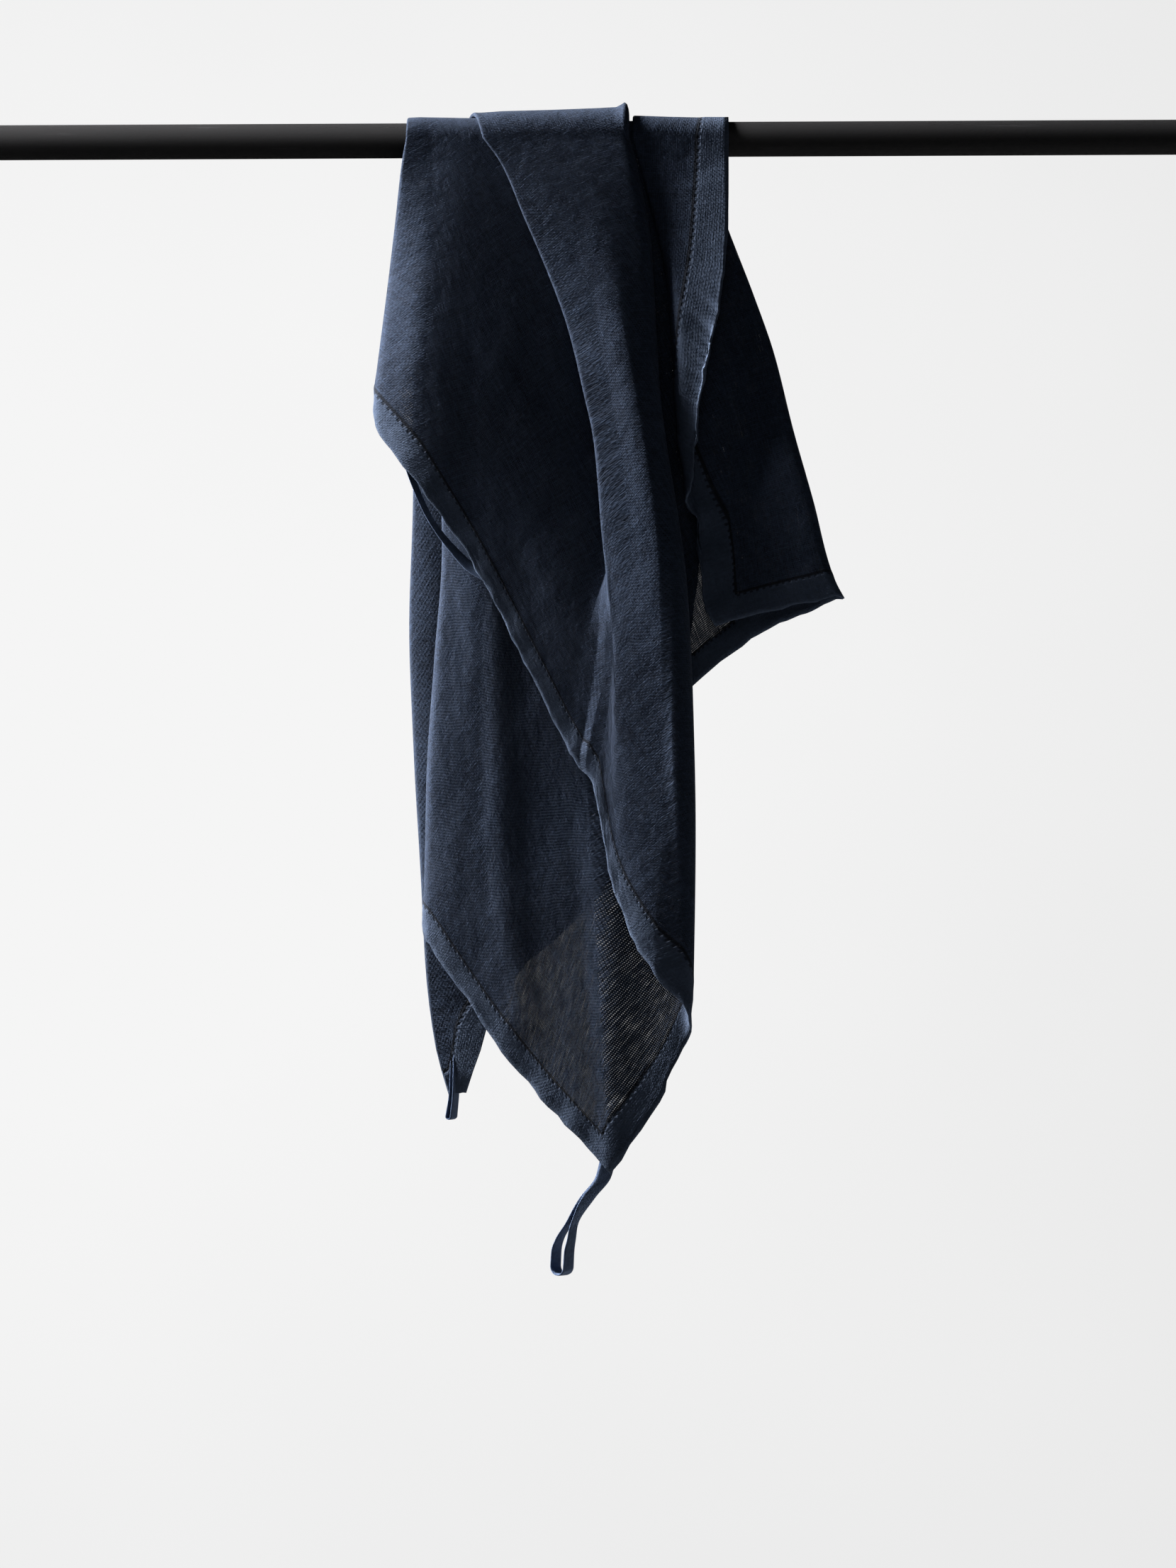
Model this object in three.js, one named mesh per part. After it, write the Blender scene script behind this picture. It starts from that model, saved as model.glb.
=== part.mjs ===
// Linen tea towel thrown over a round hanging rod, with two corner loops and a side tape.
// Millimetres. X runs along the rod from its left end, Y goes away from the viewer, Z is up.
// The rod's axis is Y = 0, Z = 0. The towel hangs on both sides of it.
import * as THREE from 'three';

// Driving sizes
const ROD_LENGTH = 600;
const ROD_DIAMETER = 16;
const ROD_SIDES = 48;
const ROD_CHAMFER = 0.6;
const SHEET_THICKNESS = 1.0;
const HEM_EXTRA = 0.3; // how much thicker the folded hem is
const HEM_WIDTH = 12;
const LAYER_PITCH = 1.5; // from one lying layer to the next where the cloth crosses the rod
const FIRST_LAYER = ROD_DIAMETER / 2 + 1.0; // middle of the innermost layer, from the rod's axis
const TAPE_WIDTH = 7;
const TAPE_THICKNESS = 0.9;
const OPEN_SPREAD = 0.3; // half the width of an opened fold, as a share of the room beside it
const STEEPEST = 1.5; // most mm that a section drops for each mm across a fold
const MOST_LEAN = 0.6; // most radians by which a panel rises away from a fold
const ROUND_WIDTH = 15; // mm beside a fold over which the front's panels round off
const REAR_CURL = 5; // how far the rear layers' left sides curl away from the viewer
const REAR_CURL_FROM = 236; // x at which that starts
const REAR_CURL_WIDTH = 18;

// The rod rises a little to the right and the cloth hangs plumb, so it lies askew to the rod
const RISE = 0.0047; // mm sideways for each mm down
const SQUARE_AT = 296; // mm below the rod where the tables' x is right as it stands

// Mesh steps
const ROWS_REAR = 12;
const ROW_CROWDING_REAR = 1.6; // rows lie closer together near the rod
const ROW_CROWDING_FRONT = 1.15;
const ROWS_OVER = 10;
const ROWS_FRONT = 18;
const FOLD_STEPS = 4;

// Depth of a layer on the rod, counted outwards from 1
const layer = (number) => FIRST_LAYER + (number - 1) * LAYER_PITCH;

const plumb = (x, down) => x + RISE * (SQUARE_AT - down);

// Every line below runs from the rod down to the edge of the cloth. A row is one height:
//   down    mm below the rod's axis
//   x       mm from the rod's left end, at the turn of the fold
//   arrive  mm from the rod's axis plane to the cloth before the line
//   leave   the same after the line; equal to arrive where nothing is folded
//   open    0 where the fold is closed, 1 where it has run out
const ROW_NAMES = ['down', 'x', 'arrive', 'leave', 'open'];

// turn: which way the fold points, -1 left, 1 right, 0 no fold; steps: columns to the next line;
// corner: the line ends in a corner of the towel; round: mm by which the front rounds off there
const LINES = [
  { name: 'edge_by_first_corner', turn: 0, steps: 2,
    front: [[0, 309, layer(3), layer(3)], [30, 286, 12.9, 12.9], [63, 260, 13.8, 13.8]],
    rear: [[0, 309, layer(3), layer(3)], [75, 318, 15, 15], [150, 330, 18, 18]] },
  { name: 'left_outline_fold', turn: -1, steps: 1, round: 4,
    front: [[0, 217, layer(3), layer(4)], [9, 215.4, 12.2, 14.2], [41, 211.8, 12.9, 17.2],
      [77, 207.5, 13.8, 20.5], [106, 203.9, 15.2, 23], [117, 202.6, 15.9, 23.6], [131, 202.8, 17, 24]],
    rear: [[0, 218, layer(3), layer(4)], [100, 221, 15.5, 19], [205, 226, 19, 24]] },
  { name: 'crest_of_left_panel', turn: 0, steps: 1,
    front: [[0, 228, layer(4), layer(4)], [20, 229, 16.4, 16.4], [50, 229, 21.2, 21.2],
      [110, 226, 27.4, 27.4], [162, 224.8, 29, 29]],
    rear: [[0, 226, layer(4), layer(4)], [100, 228, 19.6, 19.6], [211, 233, 25, 25]] },
  { name: 'middle_of_left_panel', turn: 0, steps: 2,
    front: [[0, 238, layer(4), layer(4)], [20, 241, 16.4, 16.4], [60, 246, 20.8, 20.8],
      [130, 249, 25.8, 25.8], [198, 249.6, 27, 27]],
    rear: [[0, 236, layer(4), layer(4)], [100, 237, 19.5, 19.5], [216, 242, 25, 25]] },
  { name: 'pleat_under_fold', turn: 1, steps: 1,
    front: [[0, 261, layer(4), layer(5), 0], [12, 270, 13.9, 15.6, 0], [37, 281, 14.9, 16.8, 0],
      [88, 301, 15.4, 18, 0], [138, 311.5, 17, 21.2, 0], [179, 313.5, 20, 23.6, 0],
      [196, 309.6, 22, 24.4, 0.6], [214, 305, 24.4, 25.8, 1], [235, 301, 25.4, 26.2, 1],
      [285, 294, 26.6, 27.2, 1]],
    rear: [[0, 252, layer(4), layer(5), 0], [13, 250.5, 14.6, 16.6, 0], [24, 248.6, 15.4, 17, 0.6],
      [39, 246, 16.6, 17.6, 1], [85, 242, 19.6, 19.8, 1], [222, 250, 26, 26.4, 1]] },
  { name: 'pleat_edge_fold', turn: -1, steps: 1,
    front: [[0, 252, layer(5), layer(6), 0], [12, 260.4, 15.9, 17.6, 0], [37, 271, 17.3, 19.6, 0],
      [63, 282, 17.6, 20.8, 0], [88, 291, 18.4, 22.2, 0], [117, 298, 20.2, 24.6, 0],
      [138, 302.5, 21.8, 26.4, 0], [184, 306.6, 24.4, 28, 0], [201, 309.8, 26.4, 28.4, 0.6],
      [219, 312, 27.2, 28.6, 1], [240, 311.5, 27.6, 28.6, 1], [293, 300, 28.2, 29.4, 1]],
    rear: [[0, 242, layer(5), layer(6), 0], [13, 244.5, 16.9, 19.2, 0], [24, 249.4, 19.4, 21, 0.6],
      [39, 253, 18.8, 19.8, 1], [85, 258, 20.4, 20.8, 1], [226, 262, 26.8, 27.2, 1]] },
  { name: 'left_of_right_panel', turn: 0, steps: 1,
    front: [[0, 270, layer(6), layer(6)], [20, 278, 19.6, 19.6], [88, 304, 25, 25],
      [200, 319, 32, 32], [300, 314.6, 34.6, 34.6], [349, 313.6, 35, 35]],
    rear: [[0, 262, layer(6), layer(6)], [120, 270, 24, 24], [238, 280, 28, 28]] },
  { name: 'crest_of_right_panel', turn: 0, steps: 1,
    front: [[0, 294, layer(6), layer(6)], [20, 302, 19.8, 19.8], [88, 317, 26.6, 26.6],
      [200, 331, 35, 35], [300, 332, 37.4, 37.4], [381, 335, 39.4, 39.4]],
    rear: [[0, 290, layer(6), layer(6)], [120, 298, 25.5, 25.5], [252, 308, 29, 29]] },
  { name: 'right_panel_fold', turn: 1, steps: 1,
    front: [[0, 317.5, layer(6), layer(2)], [21, 323.8, 18.8, 11], [47, 328.4, 21, 11.5],
      [70, 330, 22.6, 12.1], [96, 331.4, 24.6, 13], [122, 333.2, 27, 14.2], [143, 335.8, 29, 15.4],
      [171, 340.3, 31.6, 17], [203, 344.6, 34, 18.4], [260, 347.5, 37.4, 21],
      [315, 348.6, 39.6, 24], [405, 347.3, 41.4, 30.4]],
    rear: [[0, 316, layer(6), layer(2)], [60, 326, 21, 11.4], [150, 341, 24.5, 12.8], [268, 343, 29, 14.4]] },
  { name: 'bow_of_lower_edge', turn: 0, steps: 1,
    front: [[0, 303, layer(2), layer(2)], [90, 313, 12.3, 12.3], [200, 322, 16.6, 16.6],
      [320, 327, 23, 23], [440, 332, 32.6, 32.6]],
    rear: [[0, 303, layer(2), layer(2)], [150, 318, 12.6, 12.6], [296, 315, 14.2, 14.2]] },
  { name: 'line_to_first_corner', turn: 0, steps: 2, corner: true,
    front: [[0, 288, layer(2), layer(2)], [90, 290, 12, 12], [200, 294, 15.4, 15.4],
      [320, 301, 22, 22], [472, 310, 35, 35]],
    rear: [[0, 288, layer(2), layer(2)], [160, 290, 12.4, 12.4], [322, 286, 14, 14]] },
  { name: 'crest_of_second_panel', turn: 0, steps: 2,
    front: [[0, 250, layer(2), layer(2)], [60, 254, 11.7, 11.7], [140, 256, 14.2, 14.2],
      [200, 252, 15.7, 15.7], [300, 252, 19.2, 19.2], [427, 269, 27, 27]],
    rear: [[0, 250, layer(2), layer(2)], [200, 252, 12.8, 12.8], [380, 250, 14.2, 14.2]] },
  { name: 'inner_left_fold', turn: -1, steps: 3, round: 3,
    front: [[0, 218, layer(2), layer(1)], [60, 225, 11.4, 9.2], [130, 231.6, 13, 9.5],
      [188, 233.4, 14.6, 10], [240, 229.8, 16.2, 10.6], [293, 226.4, 17.6, 11.2],
      [330, 225.6, 18.4, 12], [364, 224.7, 19.4, 13]],
    rear: [[0, 218, layer(2), layer(1)], [158, 219.4, 12, 9.3], [223, 217.6, 12.6, 9.6],
      [276, 219.4, 13, 10], [340, 223, 13.4, 10.4], [382, 225.2, 13.6, 10.8],
      [417, 229.8, 13.8, 11.2], [437, 235.2, 14, 11.6]] },
  { name: 'middle_of_inner_panel', turn: 0, steps: 3,
    front: [[0, 290, layer(1), layer(1)], [120, 330, 9.8, 9.8], [233, 370, 11.6, 11.6]],
    rear: [[0, 285, layer(1), layer(1)], [200, 262, 9.6, 9.6], [330, 248, 10.2, 10.2],
      [410, 236, 11, 11], [438, 237.6, 11.5, 11.5]] },
  { name: 'right_outline_fold', turn: 1, steps: 2,
    front: [[0, 349, layer(1), layer(2), 0], [41, 363.4, 9.6, 13, 0], [73, 375.6, 10.2, 14.8, 0],
      [99, 384.6, 10.8, 16, 0], [135, 393.6, 11.4, 17.6, 0], [167, 402.6, 12, 19, 0],
      [201, 411.6, 12.6, 19.8, 0], [211, 417, 12.8, 20, 0]],
    rear: [[0, 346, layer(1), layer(2), 0], [25, 342, 9.2, 10.8, 0], [48, 337, 9.3, 10.8, 0.6],
      [75, 331, 9.4, 10, 1], [110, 322, 9.4, 9.7, 1], [220, 300, 9.7, 9.7, 1], [340, 274, 10.3, 10.3, 1],
      [410, 239.5, 11, 11, 1], [438, 238.9, 11.5, 11.5, 1]] },
  { name: 'line_to_last_corner', turn: 0, steps: 1, corner: true,
    front: [[0, 336, layer(2), layer(2)], [60, 350, 12.4, 12.4], [120, 361, 14.8, 14.8],
      [175, 364, 17.4, 17.4], [224, 357.6, 20, 20]],
    rear: [[0, 337, layer(2), layer(2)], [25, 338, 11.5, 11.5], [48, 340, 12.2, 12.2],
      [75, 339.5, 10.8, 10.8], [110, 337, 9.9, 9.9], [220, 315, 9.7, 9.7], [340, 285, 10.2, 10.2],
      [410, 243, 11, 11], [438, 240, 11.5, 11.5]] },
  { name: 'hem_panel_fold', turn: -1, steps: 3,
    front: [[0, 321, layer(2), layer(3), 0], [31, 328.4, 11.6, 15.4, 0], [67, 336.2, 12.8, 19.6, 0],
      [98, 338.6, 13.8, 22.2, 0], [133, 340.6, 15.4, 23.4, 0], [151, 343, 16.2, 23.4, 0],
      [167, 345.4, 17, 23.2, 0]],
    rear: [[0, 328, layer(2), layer(3), 0], [25, 334, 12.2, 13.9, 0], [48, 343, 13.6, 15.2, 0.6],
      [75, 348, 11.6, 12.2, 1], [110, 350, 10, 10.4, 1], [220, 330, 9.8, 9.8, 1], [340, 296, 10.2, 10.2, 1],
      [410, 247, 11, 11, 1], [438, 241.2, 11.5, 11.5, 1]] },
  { name: 'edge_by_last_corner', turn: 0, steps: 0,
    front: [[0, 364.4, layer(3), layer(3)], [20, 364.2, 15.6, 15.6], [37, 364, 18.6, 18.6],
      [81, 359.4, 25, 25], [109, 351.6, 27, 27]],
    rear: [[0, 364.6, layer(3), layer(3)], [25, 364.8, 13.4, 13.4], [48, 364.4, 14.2, 14.2],
      [75, 362.2, 12.2, 12.2], [110, 359.4, 10.6, 10.6], [225, 346.8, 9.9, 9.9], [343, 308, 10.2, 10.2],
      [386, 266, 10.7, 10.7], [411, 252.4, 11, 11], [438, 243.4, 11.5, 11.5]] },
];

// Smooth curve through rows of (key, value) that never overshoots them
function smooth(keys, values, at) {
  const last = keys.length - 1;
  if (at <= keys[0]) return values[0];
  if (at >= keys[last]) return values[last];
  const rise = [];
  for (let i = 0; i < last; i += 1) rise.push((values[i + 1] - values[i]) / (keys[i + 1] - keys[i]));
  const slope = keys.map((key, i) => {
    if (i === 0) return rise[0];
    if (i === last) return rise[last - 1];
    if (rise[i - 1] * rise[i] <= 0) return 0;
    const before = keys[i] - keys[i - 1];
    const after = keys[i + 1] - keys[i];
    const heavy = 2 * after + before;
    const light = after + 2 * before;
    return (heavy + light) / (heavy / rise[i - 1] + light / rise[i]);
  });
  let i = 0;
  while (at > keys[i + 1]) i += 1;
  const span = keys[i + 1] - keys[i];
  const q = (at - keys[i]) / span;
  const q2 = q * q;
  const q3 = q2 * q;
  return (2 * q3 - 3 * q2 + 1) * values[i] + (q3 - 2 * q2 + q) * span * slope[i]
    + (3 * q2 - 2 * q3) * values[i + 1] + (q3 - q2) * span * slope[i + 1];
}

// One line at a share of its own length, as an object with the named columns
function lineAt(rows, share) {
  const keys = rows.map((row) => row[0]);
  const down = share * keys[keys.length - 1];
  const found = { down };
  for (let column = 1; column < ROW_NAMES.length; column += 1) {
    found[ROW_NAMES[column]] = smooth(keys, rows.map((row) => row[column] ?? 0), down);
  }
  found.x = plumb(found.x, down);
  return found;
}

// Angle by which a panel rises away from a fold, within what the turn can take
function lean(rise, run, radius) {
  return THREE.MathUtils.clamp(Math.atan2(rise, Math.max(run - radius, 3)), -MOST_LEAN, MOST_LEAN);
}

// The points of line i in a section: a single one, or an arc that runs on into the panels beside it
function sectionPoints(found, i) {
  const at = found[i];
  const { turn } = LINES[i];
  if (turn === 0) return [{ x: at.x, out: at.arrive, down: at.down }];
  const [previous, next] = [found[i - 1], found[i + 1]];
  const runs = [Math.abs(at.x - previous.x), Math.abs(next.x - at.x)];
  const room = Math.min(...runs);
  const middle = (at.arrive + at.leave) / 2;
  const half = (at.leave - at.arrive) / 2;
  const radius = Math.abs(half);
  const sign = Math.sign(half);
  const start = lean(sign * (at.arrive - previous.leave), runs[0], radius) - Math.PI / 2;
  const end = Math.PI / 2 - lean(sign * (next.arrive - at.leave), runs[1], radius);
  const depth = (line) => (line.arrive + line.leave) / 2;
  const reach = Math.hypot(runs[0], middle - depth(previous)) + Math.hypot(runs[1], depth(next) - middle);
  const fall = THREE.MathUtils.clamp((next.down - previous.down) / reach, -STEEPEST, STEEPEST);
  const points = [];
  for (let step = 0; step <= FOLD_STEPS; step += 1) {
    const angle = start + (end - start) * (step / FOLD_STEPS);
    const curl = turn * radius * (1 - Math.cos(angle)) * (1 - at.open);
    const spread = at.open * OPEN_SPREAD * room * Math.sin(angle);
    points.push({
      x: at.x - curl + spread,
      out: middle + half * Math.sin(angle),
      down: at.down + fall * (radius * angle * (1 - at.open) + spread),
    });
  }
  return points;
}

const mix = (a, b, q) => ({
  x: a.x + (b.x - a.x) * q, out: a.out + (b.out - a.out) * q, down: a.down + (b.down - a.down) * q,
});
const between = (a, b) => Math.hypot(a.x - b.x, a.out - b.out, a.down - b.down);

// Point on the curve from a to b that also heads for its neighbours, where they belong to one panel.
// At a corner of the towel the depth below the rod isn't rounded off.
function panelPoint(before, a, b, after, corners, q) {
  const length = between(a, b);
  const tangent = (from, to, reach, corner) => {
    const scale = length / reach;
    const down = corner ? b.down - a.down : (to.down - from.down) * scale;
    return { x: (to.x - from.x) * scale, out: (to.out - from.out) * scale, down };
  };
  const start = before ? tangent(before, b, between(before, a) + length, corners[0]) : tangent(a, b, length);
  const finish = after ? tangent(a, after, between(b, after) + length, corners[1]) : tangent(a, b, length);
  const q2 = q * q;
  const q3 = q2 * q;
  const blend = (key) => (2 * q3 - 3 * q2 + 1) * a[key] + (q3 - 2 * q2 + q) * start[key]
    + (3 * q2 - 2 * q3) * b[key] + (q3 - q2) * finish[key];
  return { x: blend('x'), out: blend('out'), down: blend('down') };
}

// Moves the points of a section where the cloth's left sides round off and curl
function roundOff(side, found, points) {
  const share = (value) => THREE.MathUtils.clamp(value, 0, 1.3) ** 2;
  points.forEach((p) => {
    if (side === 'rear') {
      const curl = share(Math.min(1, (REAR_CURL_FROM - p.x) / REAR_CURL_WIDTH));
      p.out += REAR_CURL * curl * THREE.MathUtils.smoothstep(p.down, 90, 170);
      return;
    }
    LINES.forEach((line, i) => {
      if (!line.round || Math.abs(p.place - i) >= 2) return;
      const near = share((found[i].x + ROUND_WIDTH - p.x) / ROUND_WIDTH);
      p.out -= line.round * near * THREE.MathUtils.smoothstep(p.down, 15, 70);
    });
  });
}

// All points of one section, in order along the cloth. A point's place counts the lines.
function section(side, share) {
  const found = LINES.map((line) => lineAt(line[side], share));
  const groups = LINES.map((_, i) => sectionPoints(found, i));
  const points = [];
  groups.forEach((group, i) => {
    group.forEach((point) => points.push({ ...point, place: i }));
    if (i === groups.length - 1) return;
    const a = group[group.length - 1];
    const b = groups[i + 1][0];
    const plainA = LINES[i].turn === 0 && i > 0;
    const plainB = LINES[i + 1].turn === 0 && i + 1 < groups.length - 1;
    const before = plainA ? groups[i - 1][groups[i - 1].length - 1] : null;
    const after = plainB ? groups[i + 2][0] : null;
    const corners = [LINES[i].corner, LINES[i + 1].corner];
    const steps = LINES[i].steps + 1;
    for (let j = 1; j < steps; j += 1) {
      points.push({ ...panelPoint(before, a, b, after, corners, j / steps), place: i + 0.5 });
    }
  });
  roundOff(side, found, points);
  return points;
}

// Middle surface of the towel as rows of points: rear from the bottom up, over the rod, front down
function towelSurface() {
  const rows = [];
  for (let i = ROWS_REAR; i >= 1; i -= 1) {
    const points = section('rear', (i / ROWS_REAR) ** ROW_CROWDING_REAR);
    rows.push(points.map((p) => new THREE.Vector3(p.x, p.out, -p.down)));
  }
  const rear = section('rear', 0);
  const front = section('front', 0);
  for (let i = 0; i <= ROWS_OVER; i += 1) {
    const angle = Math.PI * (i / ROWS_OVER);
    rows.push(rear.map((point, j) => {
      const p = mix(point, front[j], i / ROWS_OVER);
      return new THREE.Vector3(p.x, p.out * Math.cos(angle), p.out * Math.sin(angle));
    }));
  }
  for (let i = 1; i <= ROWS_FRONT; i += 1) {
    const points = section('front', (i / ROWS_FRONT) ** ROW_CROWDING_FRONT);
    rows.push(points.map((p) => new THREE.Vector3(p.x, -p.out, -p.down)));
  }
  return rows;
}

// Thickness at each point: more within a hem's width of the nearest edge
function thicknessField(rows) {
  const wide = rows[0].length;
  const run = (count, at) => {
    const along = [0];
    for (let i = 1; i < count; i += 1) along.push(along[i - 1] + at(i).distanceTo(at(i - 1)));
    return along.map((value) => Math.min(value, along[count - 1] - value));
  };
  const across = rows.map((row) => run(wide, (i) => row[i]));
  const down = rows[0].map((_, j) => run(rows.length, (i) => rows[i][j]));
  return rows.map((row, i) => row.map((_, j) => {
    const edge = Math.min(across[i][j], down[j][i]);
    const q = Math.min(1, Math.max(0, (edge - HEM_WIDTH + 2) / 4));
    return SHEET_THICKNESS + HEM_EXTRA * (1 - q * q * (3 - 2 * q));
  }));
}

// Direction square to the sheet at each point, from the quads around it by their size
function sheetNormals(rows) {
  const normals = rows.map((row) => row.map(() => new THREE.Vector3()));
  for (let i = 0; i + 1 < rows.length; i += 1) {
    for (let j = 0; j + 1 < rows[0].length; j += 1) {
      const diagonal = rows[i + 1][j + 1].clone().sub(rows[i][j]);
      const other = rows[i + 1][j].clone().sub(rows[i][j + 1]);
      const normal = other.cross(diagonal).negate();
      for (const [a, b] of [[i, j], [i, j + 1], [i + 1, j], [i + 1, j + 1]]) normals[a][b].add(normal);
    }
  }
  return normals.map((row) => row.map((normal) => normal.normalize()));
}

// Closed body around a middle surface given as rows of points
function thickSheet(rows, thickness) {
  const tall = rows.length;
  const wide = rows[0].length;
  const normals = sheetNormals(rows);
  const positions = [];
  const sides = [[], []];
  for (const side of [0, 1]) {
    for (let i = 0; i < tall; i += 1) {
      for (let j = 0; j < wide; j += 1) {
        const shift = (side === 0 ? 0.5 : -0.5) * thickness[i][j];
        const point = rows[i][j].clone().addScaledVector(normals[i][j], shift);
        sides[side].push(positions.length / 3);
        positions.push(point.x, point.y, point.z);
      }
    }
  }
  const index = [];
  const quad = (a, b, c, d) => index.push(a, b, c, a, c, d);
  const at = (side, i, j) => sides[side][i * wide + j];
  for (let i = 0; i + 1 < tall; i += 1) {
    for (let j = 0; j + 1 < wide; j += 1) {
      quad(at(0, i, j), at(0, i, j + 1), at(0, i + 1, j + 1), at(0, i + 1, j));
      quad(at(1, i, j), at(1, i + 1, j), at(1, i + 1, j + 1), at(1, i, j + 1));
    }
    quad(at(0, i, 0), at(0, i + 1, 0), at(1, i + 1, 0), at(1, i, 0));
    quad(at(0, i, wide - 1), at(1, i, wide - 1), at(1, i + 1, wide - 1), at(0, i + 1, wide - 1));
  }
  for (let j = 0; j + 1 < wide; j += 1) {
    quad(at(0, 0, j), at(1, 0, j), at(1, 0, j + 1), at(0, 0, j + 1));
    quad(at(0, tall - 1, j), at(0, tall - 1, j + 1), at(1, tall - 1, j + 1), at(1, tall - 1, j));
  }
  const geometry = new THREE.BufferGeometry();
  geometry.setAttribute('position', new THREE.Float32BufferAttribute(positions, 3));
  geometry.setIndex(index);
  geometry.computeVertexNormals();
  return geometry;
}

// Rod with a small chamfer at each plain cut end, built along X
function rodGeometry() {
  const radius = ROD_DIAMETER / 2;
  const profile = [
    [0, 0], [radius - ROD_CHAMFER, 0], [radius, ROD_CHAMFER],
    [radius, ROD_LENGTH - ROD_CHAMFER], [radius - ROD_CHAMFER, ROD_LENGTH], [0, ROD_LENGTH],
  ].map(([r, along]) => new THREE.Vector2(r, along));
  const geometry = new THREE.LatheGeometry(profile, ROD_SIDES);
  geometry.rotateZ(-Math.PI / 2);
  return geometry;
}

// Flat tape swept along a path. Each station has the path point and the tape's width direction.
function tapeGeometry(stations, width, thickness) {
  const rows = stations.map(({ point, across }) => {
    const half = across.clone().normalize().multiplyScalar(width / 2);
    return [point.clone().sub(half), point.clone(), point.clone().add(half)];
  });
  return thickSheet(rows, rows.map((row) => row.map(() => thickness)));
}

// Hanging loop: one leg down, a round end and the other leg up. A row is one height of its middle:
//   down, x, out   as for the towel's lines
//   turned         degrees by which the tape has turned from facing the viewer
//   apart          mm between the middles of the two legs
const LOOP_ROW_NAMES = ['down', 'x', 'out', 'turned', 'apart'];
const FIRST_LOOP = [
  [466, 309, 31.4, 12, 1.5], [474, 306.8, 31.6, 8, 1.5], [483, 299.8, 32, 26, 1.7],
  [494, 293, 32.4, 60, 2.6], [502, 289.8, 32.6, 56, 6.4], [507, 288.6, 32.6, 50, 7.6],
  [514, 288.2, 32.6, 48, 7.8],
];
const LAST_LOOP = [
  [409, 239, -18.9, 55, 1.5], [426, 238.6, -18.9, 55, 1.6], [439, 238, -18.7, 54, 1.8],
  [449, 236.8, -18, 52, 2.4],
];
const LOOP_STEPS = 14;
const LOOP_END_STEPS = 8;

function loopGeometry(table) {
  const rows = table.map((row) => Object.fromEntries(LOOP_ROW_NAMES.map((name, i) => [name, row[i]])));
  const keys = rows.map((row) => row.down);
  const value = (name, down) => smooth(keys, rows.map((row) => row[name]), down);
  const frameAt = (down) => {
    const turned = THREE.MathUtils.degToRad(value('turned', down));
    return {
      middle: new THREE.Vector3(plumb(value('x', down), down), -value('out', down), -down),
      across: new THREE.Vector3(Math.cos(turned), Math.sin(turned), 0),
      normal: new THREE.Vector3(-Math.sin(turned), Math.cos(turned), 0),
      half: value('apart', down) / 2,
    };
  };
  const top = keys[0];
  const bottom = keys[keys.length - 1];
  const stations = [];
  const leg = (sign, from, to) => {
    for (let i = 0; i <= LOOP_STEPS; i += 1) {
      const { middle, across, normal, half } = frameAt(from + (to - from) * (i / LOOP_STEPS));
      stations.push({ point: middle.addScaledVector(normal, sign * half), across });
    }
  };
  leg(1, top, bottom);
  const end = frameAt(bottom);
  for (let i = 1; i < LOOP_END_STEPS; i += 1) {
    const angle = Math.PI * (i / LOOP_END_STEPS);
    const point = end.middle.clone().addScaledVector(end.normal, end.half * Math.cos(angle));
    point.z -= end.half * Math.sin(angle);
    stations.push({ point, across: end.across });
  }
  leg(-1, bottom, top);
  return tapeGeometry(stations, TAPE_WIDTH, TAPE_THICKNESS);
}

// Side tape: lies behind the hem between its two sewn ends and bows out past the edge
const SIDE_TAPE_ROW_NAMES = ['down', 'x', 'out', 'turned'];
const SIDE_TAPE = [
  [134, 213.5, 20, 60], [150, 218, 20.8, 64], [163, 222.6, 21.4, 68], [176, 229, 21.6, 68],
  [188, 238, 21.8, 60], [197, 247, 22, 46], [201, 254.5, 22.2, 36],
];

function sideTapeGeometry() {
  const points = SIDE_TAPE.map(([down, x, out]) => new THREE.Vector3(plumb(x, down), -out, -down));
  const curve = new THREE.CatmullRomCurve3(points, false, 'centripetal');
  const count = 24;
  const shares = SIDE_TAPE.map((_, i) => i / (SIDE_TAPE.length - 1));
  const turnedColumn = SIDE_TAPE_ROW_NAMES.indexOf('turned');
  const stations = [];
  for (let i = 0; i <= count; i += 1) {
    const share = i / count;
    const tangent = curve.getTangent(share);
    const inward = new THREE.Vector3(tangent.z, 0, -tangent.x).normalize();
    if (inward.z < 0) inward.negate();
    const turned = THREE.MathUtils.degToRad(smooth(shares, SIDE_TAPE.map((row) => row[turnedColumn]), share));
    const across = inward.multiplyScalar(Math.cos(turned)).add(new THREE.Vector3(0, Math.sin(turned), 0));
    stations.push({ point: curve.getPoint(share), across });
  }
  return tapeGeometry(stations, TAPE_WIDTH, TAPE_THICKNESS);
}

// Materials
const linen = new THREE.MeshStandardMaterial({ name: 'navy_linen', color: 0x232c3c, roughness: 0.95 });
linen.side = THREE.DoubleSide;
const linenTape = new THREE.MeshStandardMaterial({ name: 'navy_linen_tape', color: 0x28324a, roughness: 0.9 });
const blackPaint = new THREE.MeshStandardMaterial({ name: 'black_paint', color: 0x0c0c0e, roughness: 0.5 });

const part = new THREE.Group();
function add(name, geometry, material) {
  const mesh = new THREE.Mesh(geometry, material);
  mesh.name = name;
  part.add(mesh);
}

const surface = towelSurface();
add('towel', thickSheet(surface, thicknessField(surface)), linen);
add('first_corner_loop', loopGeometry(FIRST_LOOP), linenTape);
add('last_corner_loop', loopGeometry(LAST_LOOP), linenTape);
add('side_tape', sideTapeGeometry(), linenTape);
add('rod', rodGeometry(), blackPaint);

export default part;
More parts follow.
